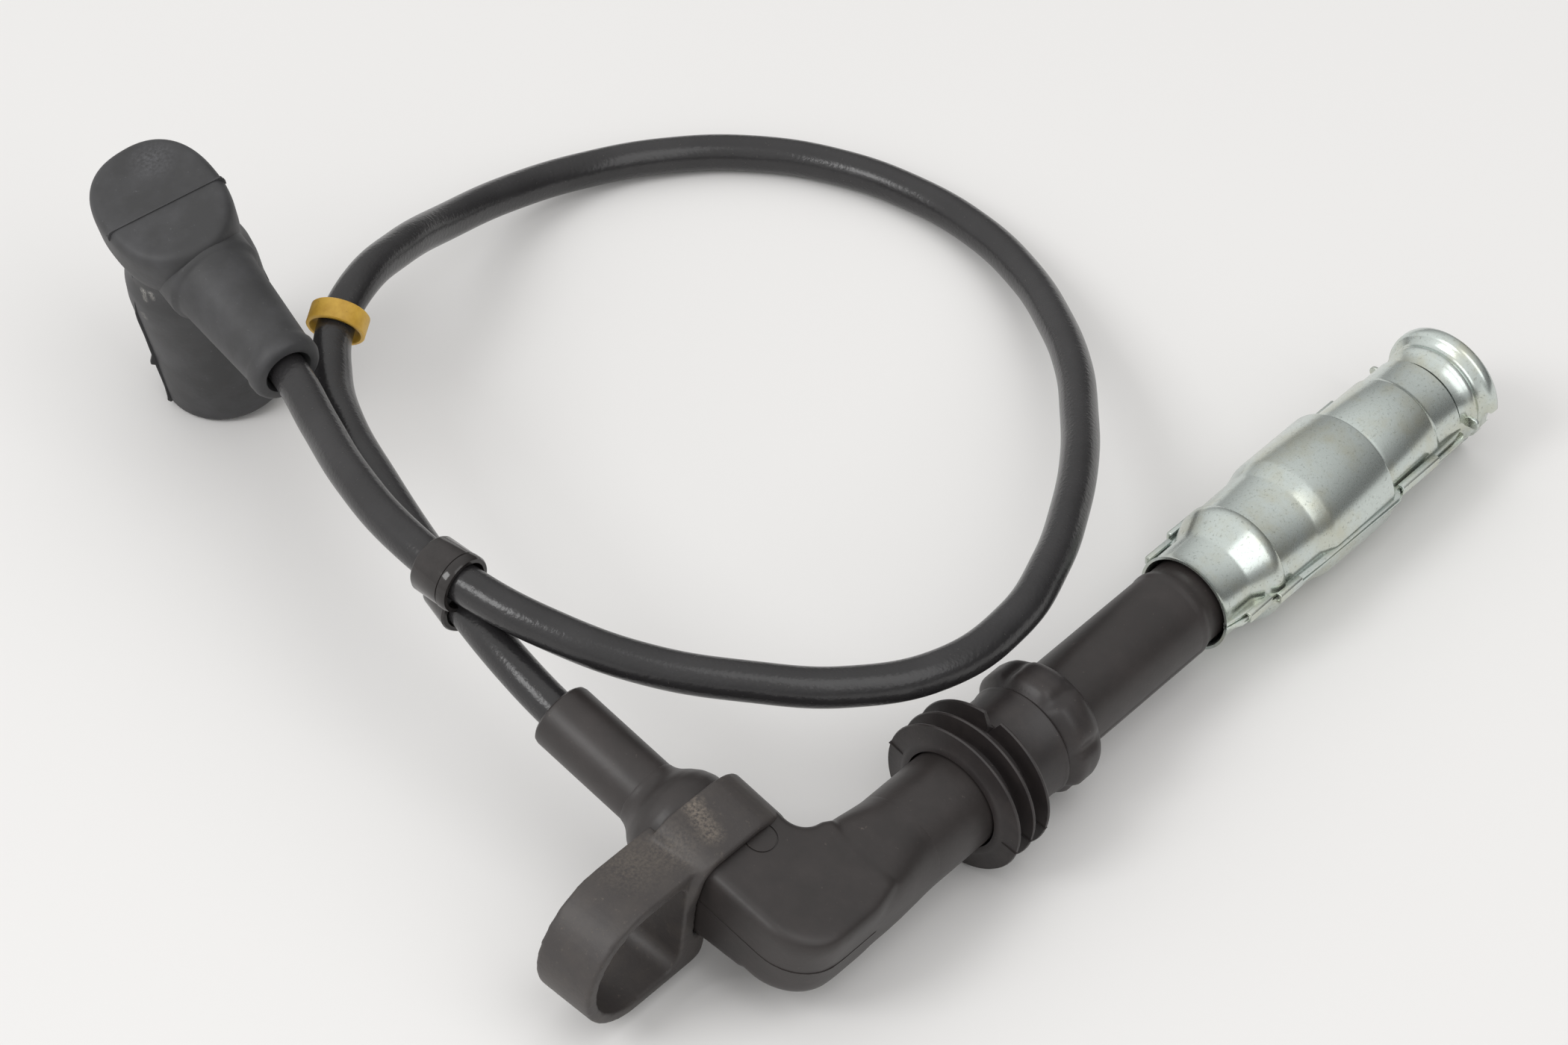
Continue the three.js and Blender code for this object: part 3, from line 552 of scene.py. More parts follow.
# %% Turn the shaft
SHAFT = [
    (19, 9.1),
    (49.4, 9.1),
    (50.2, 8.4),
    (51, 8.35),
    (51.2, 8.35),
    (96, 8.35),
    (96.2, 8.35),
    (96.9, 8.5),
    (97.5, 8.5),
    (98.4, 8.2),
    (99.4, 7.9),
    (110.5, 7.9),
    (117, 9.7),
    (126, 9.8),
    (134, 10.9),
    (145.6, 10.9),
    (145.8, 9),
    (158.8, 9),
    (159, 8.1),
    (165.4, 8.1),
    (166, 7.5),
    (166, 7),
    (152, 7),
    (151.8, 5.6),
    (113.2, 5.6),
    (112, 4.2),
    (19, 4.2),
]
shaft = turned("connector_shaft", SHAFT, hollow=True, around=160)


MOULD_STEP = 8.5 / 8.35
BARE_PART = (51.1, 96.1)
SHAFT_SKIN = 8


def mould_step(x, y, z):
    """The lower half of the mould is a hair wider along the bare part of the shaft."""
    outside = BARE_PART[0] < z < BARE_PART[1] and hypot(x, y) > SHAFT_SKIN
    wider = MOULD_STEP if outside and y < -0.01 else 1
    return x * wider, y * wider, z


reshape(shaft, mould_step)
seat(shaft, CONNECTOR, elbow_plastic, "elbow_housing", smooth=30)

# %% [markdown]
# ## The elbow
# The elbow is a flat topped block with rounded edges that melts into the round shaft on one side
# and into the cable's arm on the other. Such a moulding has no sharp inner corners. Here the
# simple parts are joined, remeshed in small voxels so that they become one skin, and smoothed,
# which leaves the fillets that the mould would. The outer side of the bend gets more smoothing
# than the rest, through a vertex group that fades towards the shaft and the arm. A round ejector
# mark is cut in the top, and the mould's parting shows as a fine raised line round the block.

# %% Slabs, blocks, edge rounding, fusing and cutting
def arc(x, y, radius, start, end, steps=8):
    """Points of an arc about a centre, between two angles in degrees."""
    turns = [radians(start + (end - start) * i / steps) for i in range(steps + 1)]
    return [(x + radius * cos(a), y + radius * sin(a)) for a in turns]


def slab(name, outline, low, high):
    """A plate with an outline in X and Y, between two heights, all in millimetres."""
    bpy.ops.object.select_all(action="DESELECT")
    bpy.ops.mesh.primitive_circle_add(vertices=len(outline), radius=MM, fill_type="NGON")
    piece = start_piece(name)
    mesh = bmesh.from_edit_mesh(piece.data)
    mesh.verts.ensure_lookup_table()
    for corner, (x, y) in zip(mesh.verts, outline):
        corner.co = Vector((x, y, low)) * MM
    bmesh.update_edit_mesh(piece.data)
    bpy.ops.mesh.extrude_region_move(TRANSFORM_OT_translate={"value": (0, 0, (high - low) * MM)})
    close_piece()
    return piece


def block(name, low, high):
    """A box between two corners in millimetres."""
    bpy.ops.object.select_all(action="DESELECT")
    bpy.ops.mesh.primitive_cube_add(size=MM)
    piece = start_piece(name)
    size = [b - a for a, b in zip(low, high)]
    middle = [(a + b) / 2 * MM for a, b in zip(low, high)]
    bpy.ops.transform.resize(value=size, center_override=(0, 0, 0))
    bpy.ops.transform.translate(value=middle)
    bpy.ops.object.mode_set(mode="OBJECT")
    return piece


def round_edges(piece, radius, wanted, segments=6):
    """Bevels the edges whose middle passes a test of x, y and z in millimetres."""
    choose(piece)
    bpy.ops.object.mode_set(mode="EDIT")
    bpy.ops.mesh.select_all(action="DESELECT")
    bpy.ops.mesh.select_mode(type="EDGE")
    mesh = bmesh.from_edit_mesh(piece.data)
    for edge in mesh.edges:
        middle = (edge.verts[0].co + edge.verts[1].co) / 2 / MM
        edge.select = wanted(*middle)
    bmesh.update_edit_mesh(piece.data)
    bpy.ops.mesh.bevel(offset=radius * MM, segments=segments, affect="EDGES")
    bpy.ops.object.mode_set(mode="OBJECT")


def fuse(pieces, name, voxel, passes):
    """Joins pieces into one voxel skin and smooths it."""
    whole = join(pieces, name)
    apply_modifier(whole, "REMESH", mode="VOXEL", voxel_size=voxel * MM)
    apply_modifier(whole, "SMOOTH", factor=0.5, iterations=passes)
    return whole


def cut(piece, *cutters):
    """Takes the cutters' shapes out of a piece."""
    for cutter in cutters:
        apply_modifier(piece, "BOOLEAN", operation="DIFFERENCE", solver="EXACT", object=cutter)
        bpy.data.objects.remove(cutter)


def soften(piece, width, segments, sharper):
    """Bevels every edge that is sharper than an angle in degrees."""
    limit = {"limit_method": "ANGLE", "angle_limit": radians(sharper)}
    apply_modifier(piece, "BEVEL", width=width * MM, segments=segments, **limit)


# %% Outlines of the elbow and its arm
def arm_outline(grow):
    """The arm's section, flat on the outer side of the bend and round on the inner side."""
    flat, inner, wide, tight, soft = 8.9 + grow, -9.4 - grow, 9.2 + grow, 2.5 + grow, 7.5 + grow
    return (
        arc(flat - tight, wide - tight, tight, 0, 90)
        + arc(inner + soft, wide - soft, soft, 90, 180)
        + arc(inner + soft, soft - wide, soft, 180, 270)
        + arc(flat - tight, tight - wide, tight, 270, 360)
    )


corner_curve = [(0.5 + 9.65 * cos(radians(a)), 8.9 * sin(radians(a))) for a in range(180, 271, 9)]
ELBOW_OUTLINE = [(16, -8.9), (16, 9.4), *arc(13.15, 13.4, 4, 270, 180), (8, 15.5)]
ELBOW_OUTLINE += [(-7.65, 14.5), (-9.15, 9), (-9.15, 1), *corner_curve[1:]]
print("elbow outline of", len(ELBOW_OUTLINE), "points")


def squared(x, y, power):
    """Moves a point of a circle out to a rounded square of the same width."""
    angle = atan2(y, x)
    swell = (abs(cos(angle)) ** power + abs(sin(angle)) ** power) ** (-1 / power)
    reach = hypot(x, y) * swell
    return reach * cos(angle), reach * sin(angle)


def eased(share):
    """A smooth step from 0 to 1."""
    share = min(1, max(0, share))
    return share * share * (3 - 2 * share)


# %% Model the elbow
corner = slab("elbow", ELBOW_OUTLINE, -9.2, 7.2)
round_edges(corner, 2, lambda x, y, z: z < -9.19)
round_edges(corner, 3, lambda x, y, z: z > 7.19)
lay(corner, ACROSS_Y)
arm = lay(slab("arm", arm_outline(0), 13, 25.3), ALONG_X)
arm_root = lay(slab("arm_root", arm_outline(0), 3, 14), ALONG_X)
ROOT_DEPTH = 0.78  # the arm starts as shallow below as the corner is there
reshape(arm_root, lambda x, y, z: (x, y * (ROOT_DEPTH if x < 4 and y < 0 else 1), z))
SHOULDER = [(20, 9), (25.3, 9.9), (27.2, 9.8), (29.2, 9.1), (30.8, 8), (32, 6.9), (33.2, 6.25)]
SHOULDER += [(34.6, 6)]
shoulder = lay(turned("shoulder", SHOULDER), ALONG_X)
NECK = [(26, 9.08), (24, 9.1), (21, 9.12), (18, 9.14), (15, 9.15), (12, 9.15), (9, 9.15), (2, 9.15)]
neck = turned("neck", NECK)


def neck_shape(x, y, z):
    """Square near the elbow and round near the shaft, with less depth below."""
    x, y = squared(x, y, 2 + 3 * eased((26 - z) / 18))
    if y < 0:
        y *= 1 - 0.2 * eased((22 - z) / 10)
    return x, y, z


reshape(neck, neck_shape)
web = lay(slab("web", [(7, 8), (13.6, 8), (13.4, 12.5), (8.5, 20), (7, 20)], -1, 1), ACROSS_Y)
elbow = fuse([corner, arm, arm_root, shoulder, neck, web], "elbow_block", voxel=0.38, passes=5)
soft = elbow.vertex_groups.new(name="soft")
for point in elbow.data.vertices:
    x, y, z = point.co / MM
    soft.add([point.index], eased((1 - x) / 6) * eased((15 - z) / 6), "REPLACE")
apply_modifier(elbow, "SMOOTH", factor=0.5, iterations=70, vertex_group="soft")

# %% Cut the bores and the ejector mark, and add the seam line
def bores(shaft_radius, arm_radius):
    """Cutters for the two bores that meet inside the elbow."""
    return (
        turned("shaft_bore", [(-4, shaft_radius), (30, shaft_radius)], around=48),
        lay(turned("arm_bore", [(0, arm_radius), (38, arm_radius)], around=48), ALONG_X),
    )


MARK_GROOVE = [(-0.2, 2.65), (0.5, 2.65), (0.5, 2.95), (-0.2, 2.95)]
mark_place = Matrix.Translation(Vector((13.1, 9.2, 2.75)) * MM)
ejector_mark = turned("ejector_mark", MARK_GROOVE, hollow=True)
lay(ejector_mark, mark_place @ Matrix.Rotation(radians(-90), 4, "X"))
cut(elbow, *bores(4.2, 3.8), ejector_mark)
SEAM_GROWTH = 1.008
seam_outline = [(2 + (x - 2) * SEAM_GROWTH, 2 + (z - 2) * SEAM_GROWTH) for x, z in ELBOW_OUTLINE]
seam_line = lay(slab("seam_line", seam_outline, -1.1, -0.9), ACROSS_Y)
cut(seam_line, *bores(4.3, 3.9))
elbow = join([elbow, seam_line], "elbow_block")
seat(elbow, CONNECTOR, elbow_plastic, smooth=50)

# %% [markdown]
# The sleeve that grips the cable is a plain round tube with a small chamfer at its mouth.

# %% Turn the sleeve
sleeve = turned(
    "elbow_sleeve",
    [(30, 6), (53.4, 6), (54.1, 5.8), (54.5, 5.3), (54.5, 4.7), (53.5, 3.8), (30, 3.8)],
    hollow=True,
)
seat(sleeve, ARM, elbow_plastic, smooth=30)

# %% [markdown]
# ## The pull loop
# A rubber band sits round the arm and runs on into a finger ring, so the connector can be pulled
# out of its deep well. The band follows the arm's section, and the ring is a long loop. The two
# are fused and the holes are cut, and the whole is remeshed once more, so that every edge of it is
# soft, as rubber is.

# %% Model the pull loop
def loop_outline(side, bend, start, corner):
    """A long loop, so far to each side of its middle, with a half round end about its bend."""
    return (
        arc(bend, 0, side, -90, 90, steps=24)
        + arc(start + corner, side - corner, corner, 90, 180)
        + arc(start + corner, corner - side, corner, 180, 270)
    )


FINGER_TURN = Matrix.Rotation(radians(-9), 4, "Z")
TIP = Matrix.Translation(Vector((19.35, -3.8, 0)) * MM) @ FINGER_TURN @ ALONG_X
band = lay(slab("band", arm_outline(2.2), 13.7, 25), ALONG_X)
finger = lay(slab("finger", loop_outline(12.8, 21.8, 6, 3), -6.15, 5.65), TIP)
loop = fuse([band, finger], "finger_loop", voxel=0.4, passes=1)
cut(
    loop,
    lay(slab("arm_room", arm_outline(0.3), 8, 32), ALONG_X),
    lay(slab("finger_gap", loop_outline(10.6, 21.8, 12.1, 3), -14, 14), TIP),
    lay(turned("shoulder_room", [(25, 10.2), (34, 10.2)]), ALONG_X),
)
loop = fuse([loop], "finger_loop", voxel=0.36, passes=5)
seat(loop, CONNECTOR, loop_rubber, "pull_loop", smooth=60)

# %% [markdown]
# ## The well seal
# A rubber seal closes the mouth of the spark plug well: three thin lips that bend as they go in,
# a short sleeve, and a collar with seven soft lobes. It is one turned profile. The collar's points
# are pushed in at seven grooves, the last lip gets a notch, and thin fins of rubber stay where the
# mould halves met.

# %% Turn the seal
LIP_STARTS = (39.3, 43.1, 46.9)
LIP = [(-0.5, 10.8), (-0.15, 11.4), (0, 14.2), (0.3, 14.35), (0.6, 14.2), (0.75, 11.4), (1.1, 10.8)]
seal_skin = [(38.6, 9.5), (38.6, 10.1)]
for start in LIP_STARTS:
    seal_skin += [(start + rise, reach) for rise, reach in LIP]
seal_skin += [
    (48.7, 10.3),
    (56.1, 10.3),
    (56.4, 10.5),
    (57, 10.6),
    (57.3, 10.4),
    (57.6, 10.15),
    (58, 10.6),
    (58.8, 11.5),
    (59.3, 11.8),
    (59.8, 12),
    (60.8, 12),
    (61.8, 12),
    (62.8, 12),
    (63.6, 11.8),
    (64.3, 11.5),
    (65, 10.9),
    (65.5, 10.3),
    (65.6, 9.6),
    (65.6, 8.65),
    (51.1, 8.65),
    (50.6, 9.45),
]
seal = turned("well_seal_skin", seal_skin, hollow=True, around=210)
print("seal turned from", len(seal_skin), "stations")

# %% Press in the lobes, and add the notch and the fins
LOBES = 7
LOBE_DEPTH = 0.9
FIRST_GROOVE = radians(98.4)
COLLAR_SKIN = 9.7
LOBE_SHARE = [(57.8, 0), (58.0, 0.2), (58.8, 0.8), (59.8, 1), (62.8, 1), (64.3, 0.8), (65.5, 0.1)]
LOBE_SHARE += [(65.6, 0)]


def lobed(x, y, z):
    """Pushes the collar in at seven grooves, most where it is widest."""
    share = 0
    for (z0, s0), (z1, s1) in zip(LOBE_SHARE, LOBE_SHARE[1:]):
        if z0 <= z <= z1:
            share = s0 + (s1 - s0) * (z - z0) / (z1 - z0)
    reach = hypot(x, y)
    groove = ((1 + cos(LOBES * (atan2(y, x) - FIRST_GROOVE))) / 2) ** 6
    push = 1 - LOBE_DEPTH * share * groove / reach if reach > COLLAR_SKIN else 1
    return x * push, y * push, z


reshape(seal, lobed)
notch = slab("notch", [(0, 10.8), (2.4, 15.35), (-2.4, 15.35)], 45.9, 48.5)
cut(seal, lay(notch, Matrix.Rotation(radians(-9), 4, "Z")))
fins = []
for near, far in ((-14.4, -10.4), (10.4, 14.4)):
    for start in LIP_STARTS:
        fins.append(block("mould_fin", (near, -0.1, start - 0.28), (far, 0.1, start + 0.5)))
seal = join([seal, *fins], "well_seal_skin")
seat(seal, CONNECTOR, seal_rubber, "well_seal", smooth=35)

# %% [markdown]
# ## The steel shield
# Two stamped half shells close round the tube. Their stepped sections are turned as a thin walled
# tube, which is then bisected along the seam. Pressed sheet has small round bends at each step, so
# the stations come close together there. Each half has a flat flange on both sides, and tabs of
# the lower flange are folded over the upper one.

# %% Turn the shells and bisect them
SHEET = 0.5
SEAM = 0.15
SHELL = [
    (101.3, 9.4),
    (101.5, 9.2),
    (102, 9.08),
    (103, 9.06),
    (108.6, 9.1),
    (109.4, 9.3),
    (113.4, 11.0),
    (113.9, 11.18),
    (114.6, 11.27),
    (115.5, 11.28),
    (115.8, 11.1),
    (116, 10.93),
    (117, 10.92),
    (125.8, 11.06),
    (126.4, 11.2),
    (129.2, 11.97),
    (130, 12.05),
    (145.9, 12.05),
    (146.3, 11.95),
    (146.5, 11.7),
    (146.8, 10.6),
    (147, 10.25),
    (147.5, 10.15),
    (148, 10.22),
    (148.6, 10.38),
    (161.4, 10.32),
    (161.7, 10.25),
    (162.1, 9.98),
    (162.6, 9.92),
    (169, 9.9),
]


def half(piece, side):
    """Keeps the half of a piece above or below its seam plane, and closes the cut."""
    choose(piece)
    bpy.ops.object.mode_set(mode="EDIT")
    bpy.ops.mesh.select_all(action="SELECT")
    bpy.ops.mesh.bisect(
        plane_co=(0, side * SEAM * MM, 0),
        plane_no=(0, side, 0),
        use_fill=True,
        clear_inner=True,
    )
    close_piece()


def flat_plate(name, edge, low, high):
    """A plate in the seam plane through (z, half width) points, between two levels of y."""
    corners = [(-w, z) for z, w in edge] + [(w, z) for z, w in reversed(edge)]
    return lay(slab(name, corners, -high, -low), ACROSS_Y)


UPPER_EDGE = [
    (101.3, 9.4),
    (106, 10.2),
    (112, 11),
    (118, 12),
    (126, 12.3),
    (147.3, 12.5),
    (149, 11.2),
    (166, 10.8),
    (169, 10),
]
LOWER_EDGE = [
    (101.3, 9.4),
    (104, 10.8),
    (106, 11),
    (118, 12.2),
    (147.3, 12.6),
    (149, 11.8),
    (167.5, 11.6),
    (169, 10.6),
]
SHELL_ROOM = [(100, 8.7), (108.6, 8.7), (113.4, 10.7), (125.2, 10.7), (129.6, 11.7), (146, 11.7)]
SHELL_ROOM += [(146.3, 10.1), (161.4, 9.9), (170, 9.6)]
SHELL_INSIDE = [(z, radius - SHEET) for z, radius in reversed(SHELL)]
EDGE_BREAK = 0.12
for side, word, edge in ((1, "upper", UPPER_EDGE), (-1, "lower", LOWER_EDGE)):
    name = f"shield_{word}_half"
    shell = turned(name, SHELL + SHELL_INSIDE, hollow=True, around=160)
    half(shell, side)
    low, high = sorted((side * SEAM, side * (SEAM + SHEET)))
    plate = flat_plate(name + "_flange", edge, low, high)
    cut(plate, turned("shell_room", SHELL_ROOM))
    soften(plate, EDGE_BREAK, segments=2, sharper=50)
    shell = join([shell, plate], name)
    seat(shell, SHIELD, zinc_steel, f"shield_shell_{word}", smooth=35)

# %% [markdown]
# Each tab is a strip of the lower flange, folded up round the edge of the upper flange and pressed
# flat on it. The fold's section is drawn as an outline, extruded along the shield, and its edges
# are bevelled round.

# %% Fold the hem tabs
TABS = [(105.2, 111.4, 11.7, 1.2), (112.5, 118.6, 12.7, 1.1), (148.8, 159.6, 12.1, 1.4)]
HEM_GAP = 0.3
under = -SEAM - SHEET
over = SEAM + SHEET + HEM_GAP
for number, (low, high, out, hem) in enumerate(TABS, 1):
    hook = [
        (out - 1.5, under),
        (out - 0.35, under),
        (out, under + 0.35),
        (out, over + SHEET - 0.3),
        (out - 0.3, over + SHEET),
        (out - hem, over + SHEET),
        (out - hem, over),
        (out - SHEET, over),
        (out - SHEET, -SEAM),
        (out - 1.5, -SEAM),
    ]
    for hand, word in ((-1, "left"), (1, "right")):
        tab = slab(f"hem_tab_{number}_{word}", [(hand * x, y) for x, y in hook], low, high)
        soften(tab, EDGE_BREAK, segments=3, sharper=40)
        seat(tab, SHIELD, zinc_steel)

# %% [markdown]
# ## The contact ring
# A spun steel ring closes the plug's end. It goes under the shield, and outside it has a bead, a
# groove and a rolled rim that touches the metal shell of the plug. A short arc of the rim is
# broken out with a ragged edge. Two small rolled ears stand in the seam.

# %% Turn the contact ring
RING = [
    (159.4, 9.05),
    (168.2, 9.05),
    (168.4, 8.75),
    (169.8, 8.75),
    (170, 9.15),
    (172, 9.3),
    (172.6, 9.7),
    (173.1, 10.02),
    (173.6, 10.12),
    (174.1, 10),
    (174.5, 9.78),
    (174.9, 9.76),
    (175.4, 10.1),
    (175.9, 11),
    (176.3, 11.45),
    (176.8, 11.6),
    (177.8, 11.6),
    (178.2, 11.5),
    (178.3, 11.3),
    (178.3, 10.6),
    (178, 10.4),
    (177.2, 10.35),
    (176.4, 9.95),
    (175.5, 9.5),
    (174.7, 9.15),
    (173.8, 9.4),
    (173.1, 9.3),
    (172.5, 8.8),
    (170, 8.5),
    (168.6, 8.4),
    (159.4, 8.4),
]
ring = turned("spun_contact_ring", RING, hollow=True, around=160)
print("contact ring turned from", len(RING), "stations")

# %% Break its rim and add the ears
BREAK = [(13, 176), (13, 208), (13, 240), (11.4, 239), (10.9, 241), (10.25, 238), (10.4, 231)]
BREAK += [(10.2, 223), (10.45, 215), (10.2, 206), (10.4, 197), (10.25, 189), (10.4, 181)]
BREAK += [(10.9, 177), (11.4, 178.5)]
ragged = [(r * cos(radians(a)), r * sin(radians(a))) for r, a in BREAK]
cut(ring, slab("broken_out", ragged, 175.4, 180))
EAR = [(8.6, -0.4), *arc(11, 0.8, 1.1, -90, 90), (9.8, 1.9), (8.6, 1)]
ears = [slab("ear", [(hand * x, y) for x, y in EAR], 171.2, 171.9) for hand in (-1, 1)]
for ear in ears:
    soften(ear, 0.15, segments=2, sharper=50)
ring = join([ring, *ears], "spun_contact_ring")
seat(ring, SHIELD, zinc_steel, "contact_ring", smooth=50)

# %% [markdown]
# ## The coil boot
# The boot is one thick rubber moulding: a slightly flared barrel that goes over the coil's tower,
# an oblong head and a tapered outlet for the cable. The barrel and the head are fused in the same
# way as the elbow, and then the mouth is cut out. The outlet meets the head in a sharp crease, so
# it is turned apart and joined as it is. Where the mould parted, a thin fin of flash stands round
# the barrel and a low ridge crosses the head.

# %% Model the boot
BARREL = [(0, 12), (0.5, 12.35), (18, 12.15), (29, 12.25), (33, 11.85), (37, 10.75), (42, 10.35)]
BARREL += [(46, 10.35)]
barrel = turned("barrel", BARREL)
HEAD = [
    (37.5, 10),
    (38.4, 11.4),
    (39.3, 12.6),
    (41, 13.8),
    (43, 14.4),
    (47.8, 14.6),
    (49.2, 14.5),
    (50.1, 14.1),
    (50.7, 13.4),
    (51, 12.4),
]
head = turned("head", HEAD)
HEAD_SQUARENESS = 2.4
HEAD_NARROWING = 0.788
HEAD_SHIFT = (-2, -0.4)


def oblong(x, y, z):
    """Squares the head a little, makes it narrower across and moves it off the barrel's axis."""
    x, y = squared(x, y, HEAD_SQUARENESS)
    return x + HEAD_SHIFT[0], y * HEAD_NARROWING + HEAD_SHIFT[1], z


reshape(head, oblong)
OUTLET_HEIGHT = 41
TO_OUTLET = Matrix.Translation((0, 0, OUTLET_HEIGHT * MM)) @ ALONG_X
OUTLET = [
    (6, 8.85),
    (11.8, 8.85),
    (12.6, 8.75),
    (13.1, 8.2),
    (13.7, 7.85),
    (33.4, 6.45),
    (34.4, 6.5),
    (35.1, 6.75),
    (36.6, 6.7),
    (37.3, 6.4),
    (37.7, 5.8),
    (37.7, 4.5),
    (36.5, 3.8),
    (6, 3.8),
]
outlet = lay(turned("outlet", OUTLET, hollow=True), TO_OUTLET)
boot = fuse([barrel, head], "coil_boot_skin", voxel=0.4, passes=4)
MOUTH = [(-1, 8.8), (28, 8.6), (30, 7), (30.5, 4.3), (44.5, 4.3)]
cut(
    boot,
    turned("mouth_cut", MOUTH, around=64),
    lay(turned("cable_cut", [(6, 3.8), (36.5, 3.8), (38.7, 4.6)], around=64), TO_OUTLET),
)
print("boot fused and cut to", len(boot.data.polygons), "faces")

# %% Leave the flash where the mould parted
FLASH_NEAR = [
    (-10.8, 50),
    (-10.5, 46.7),
    (-10.6, 44.3),
    (-10.3, 42),
    (-10.6, 40.6),
    (-10.7, 37.4),
    (-11.4, 34.3),
    (-12.1, 31.3),
    (-12.6, 28.6),
    (-12.7, 26.4),
    (-12.6, 21.3),
    (-12.65, 15.4),
    (-13.3, 14),
    (-13.4, 13.2),
    (-12.7, 12.4),
    (-12.6, 5.3),
    (-12.8, 2),
    (-13, 1),
    (-12.6, 0.2),
]
FLASH_FAR = [
    (12.7, 0.2),
    (12.7, 12.6),
    (12.9, 16.2),
    (12.5, 21.8),
    (12.6, 26),
    (12.4, 28.7),
    (11.6, 33),
    (10.9, 37),
    (10.8, 41),
    (10.6, 49.3),
]
flash = lay(slab("flash", [(-z, y) for y, z in FLASH_NEAR + FLASH_FAR], -0.14, 0.14), ALONG_X)
cut(
    flash,
    turned("mouth_cut", MOUTH, around=64),
    lay(turned("cable_cut", [(-6, 4), (6, 4)], around=32), TO_OUTLET),
)
ridge = block("head_ridge", (-0.2, -11.7, 49.4), (0.2, 10.9, 51.22))
round_edges(ridge, 0.8, lambda x, y, z: z > 51.2 and abs(y) > 10, segments=4)
RIDGE_SKEW = 0.11
reshape(ridge, lambda x, y, z: (x + 0.1 + RIDGE_SKEW * y, y, z))
nubs = [
    block("nub", (-1.5, -11.95, 49.3), (-0.9, -11.1, 50.4)),
    block("nub", (1, 10.4, 49), (1.6, 11.1, 50)),
]
boot = join([boot, outlet, flash, ridge, *nubs], "coil_boot_skin")
seat(boot, BOOT, boot_rubber, "coil_boot", smooth=50)

# %% [markdown]
# ## The marker ring and the clip
# A yellow split ring marks which cylinder the lead belongs to. It is a little looser than the
# cable and sits askew. The clip holds the two runs of the cable where they cross, with one ring
# round each. Its upper ring is a little wider where it snaps shut.

# %% Model the marker ring
def round_run(place, direction):
    """The frame of a piece that sits round the cable at a place, along a direction."""
    turn = Vector(direction).to_track_quat("Z", "Y").to_matrix().to_4x4()
    return Matrix.Translation(TABLE_POINT + Vector(place) * MM) @ turn


MARKER = round_run((-34.4, 76.8, 25.9), (-0.835, -0.425, -0.35))
marker = turned(
    "marker_band",
    [(-2, 4.85), (-2, 5.3), (-1.8, 5.5), (1.8, 5.5), (2, 5.3), (2, 4.85), (1.8, 4.72), (-1.8, 4.72)],
    hollow=True,
)
cut(marker, block("slit", (-0.25, -7, -3), (0.25, -3, 3)))
seat(marker, MARKER, marker_plastic, "marker_ring")

# %% Model the clip
UPPER_RUN = round_run((-75.7, 7.6, 39.1), (0, -1, -0.03))
LOWER_RUN = round_run((-73.9, 7.5, 32.5), (-0.3, -0.95, -0.02))
upper_ring = turned(
    "clip_ring_upper",
    [
        (-4, 4.4),
        (-4, 5),
        (-3.6, 5.25),
        (1.9, 5.25),
        (2, 5.1),
        (2.15, 5.1),
        (2.25, 5.35),
        (3.6, 5.35),
        (4, 5.1),
        (4, 4.4),
        (3.7, 4.25),
        (-3.7, 4.25),
    ],
    hollow=True,
)
seat(upper_ring, UPPER_RUN, clip_plastic, "cable_clip")
lower_ring = turned(
    "clip_ring_lower",
    [(-3.5, 4), (-3.5, 4.7), (-3.2, 5), (3.2, 5), (3.5, 4.7), (3.5, 4), (3.2, 3.9), (-3.2, 3.9)],
    hollow=True,
)
seat(lower_ring, LOWER_RUN, clip_plastic)

# %% [markdown]
# ## The pieces inside
# The contacts, springs, resistor and rubber throat keep their CAD shapes, because only their ends
# can be seen down the mouths. Each gets the finish of its material.

# %% Give the inner nodes their finishes
INNER = {
    "elbow_contact": contact_brass,
    "contact_spring_rear": spring_wire,
    "resistor_cap_rear": contact_brass,
    "resistor_rod": bare_ceramic,
    "resistor_cap_front": contact_brass,
    "contact_spring_front": spring_wire,
    "plug_contact": contact_brass,
    "contact_clip": spring_wire,
    "insulator_seal": throat_rubber,
    "coil_terminal": contact_brass,
}
for node, material in INNER.items():
    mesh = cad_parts[node].data
    mesh.materials.clear()
    mesh.materials.append(material)
print(len(INNER), "inner nodes finished")

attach(cable, "root")
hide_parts("lead_cable")

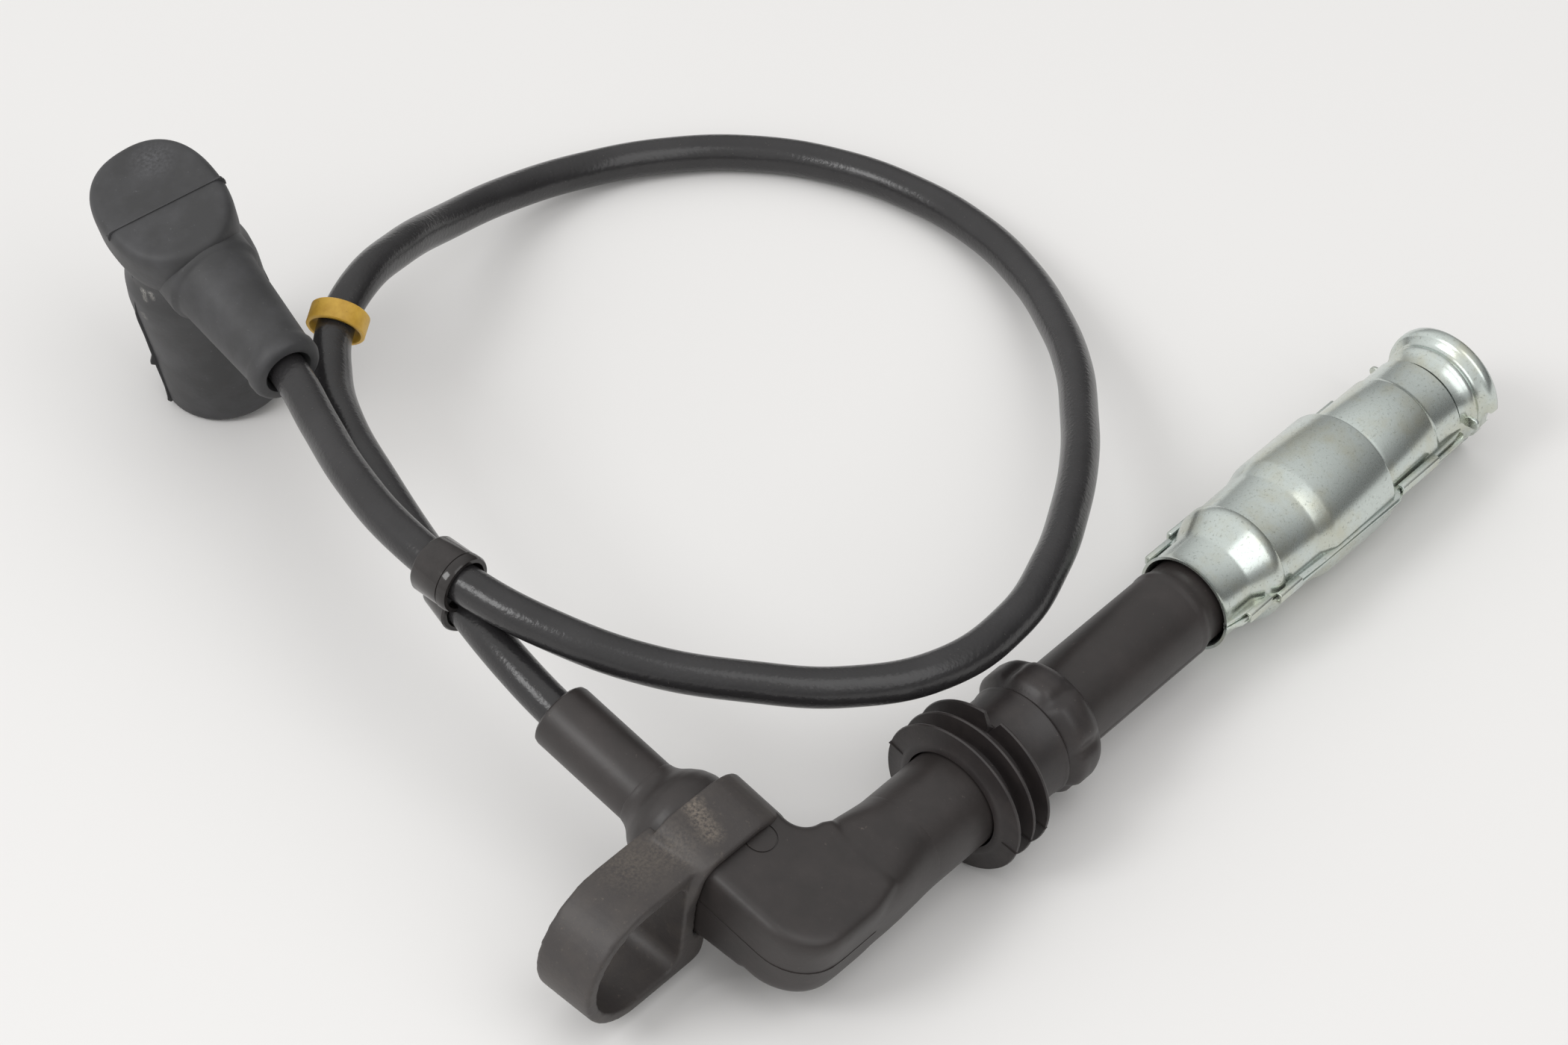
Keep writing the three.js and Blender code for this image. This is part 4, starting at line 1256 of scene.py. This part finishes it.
# %% [markdown]
# ## Table and light
# The part lies on a pale table in a white tent. The tent is brightest overhead, a little to the
# left and behind, and darker low down on the near right, which gives the metal its shape. A small
# lamp on the left gives the streaks on the cable and the bright bands on the shield's cones, which
# face it. A wide lamp in front lights the near side of everything softly.

# %% Table, world and lamps
bpy.ops.object.select_all(action="DESELECT")
bpy.ops.mesh.primitive_plane_add(size=6, location=(0, 0, 0))
table = bpy.context.object
table.name = "table"
paper = bpy.data.materials.new("matt_paper_warm_white")
paper.use_nodes = True
paper_shader = paper.node_tree.nodes["Principled BSDF"]
paper_shader.inputs["Base Color"].default_value = linear("#e9e8e7")
paper_shader.inputs["Roughness"].default_value = 0.9
paper_shader.inputs["Specular IOR Level"].default_value = 0.1
table.data.materials.append(paper)

tent = bpy.data.worlds.new("white_tent")
bpy.context.scene.world = tent
tent.use_nodes = True
facing = add_node(tent, "ShaderNodeTexCoord", {}).outputs["Generated"]
BRIGHT_SIDE = (-0.42, 0.24, 0.875)
towards = {0: facing, 1: BRIGHT_SIDE}
upward = add_node(tent, "ShaderNodeVectorMath", towards, operation="DOT_PRODUCT").outputs["Value"]
spread = {"Value": upward, "From Min": -0.45, "From Max": 0.85, "To Min": 0.08, "To Max": 0.93}
bright = add_node(tent, "ShaderNodeMapRange", spread, interpolation_type="SMOOTHSTEP")
background = tent.node_tree.nodes["Background"]
background.inputs["Color"].default_value = (1, 0.995, 0.985, 1)
tent.node_tree.links.new(bright.outputs[0], background.inputs["Strength"])

# Each lamp is its name, place in metres, size in metres and power in watts.
LAMPS = [
    ("left_lamp", (-1.0, 0.36, 1.06), (0.55, 0.55), 5.5),
    ("front_lamp", (-0.05, -0.8, 1.0), (0.8, 1.3), 3.6),
]
for name, place, size, power in LAMPS:
    bpy.ops.object.light_add(type="AREA", location=place)
    lamp = bpy.context.object
    lamp.name = name
    lamp.data.shape = "RECTANGLE"
    lamp.data.size, lamp.data.size_y = size
    lamp.data.energy = power
    lamp.rotation_euler = (TABLE_POINT - lamp.location).to_track_quat("-Z", "Y").to_euler()
    print(name, "of", power, "W")
bpy.context.scene.view_settings.view_transform = "Standard"
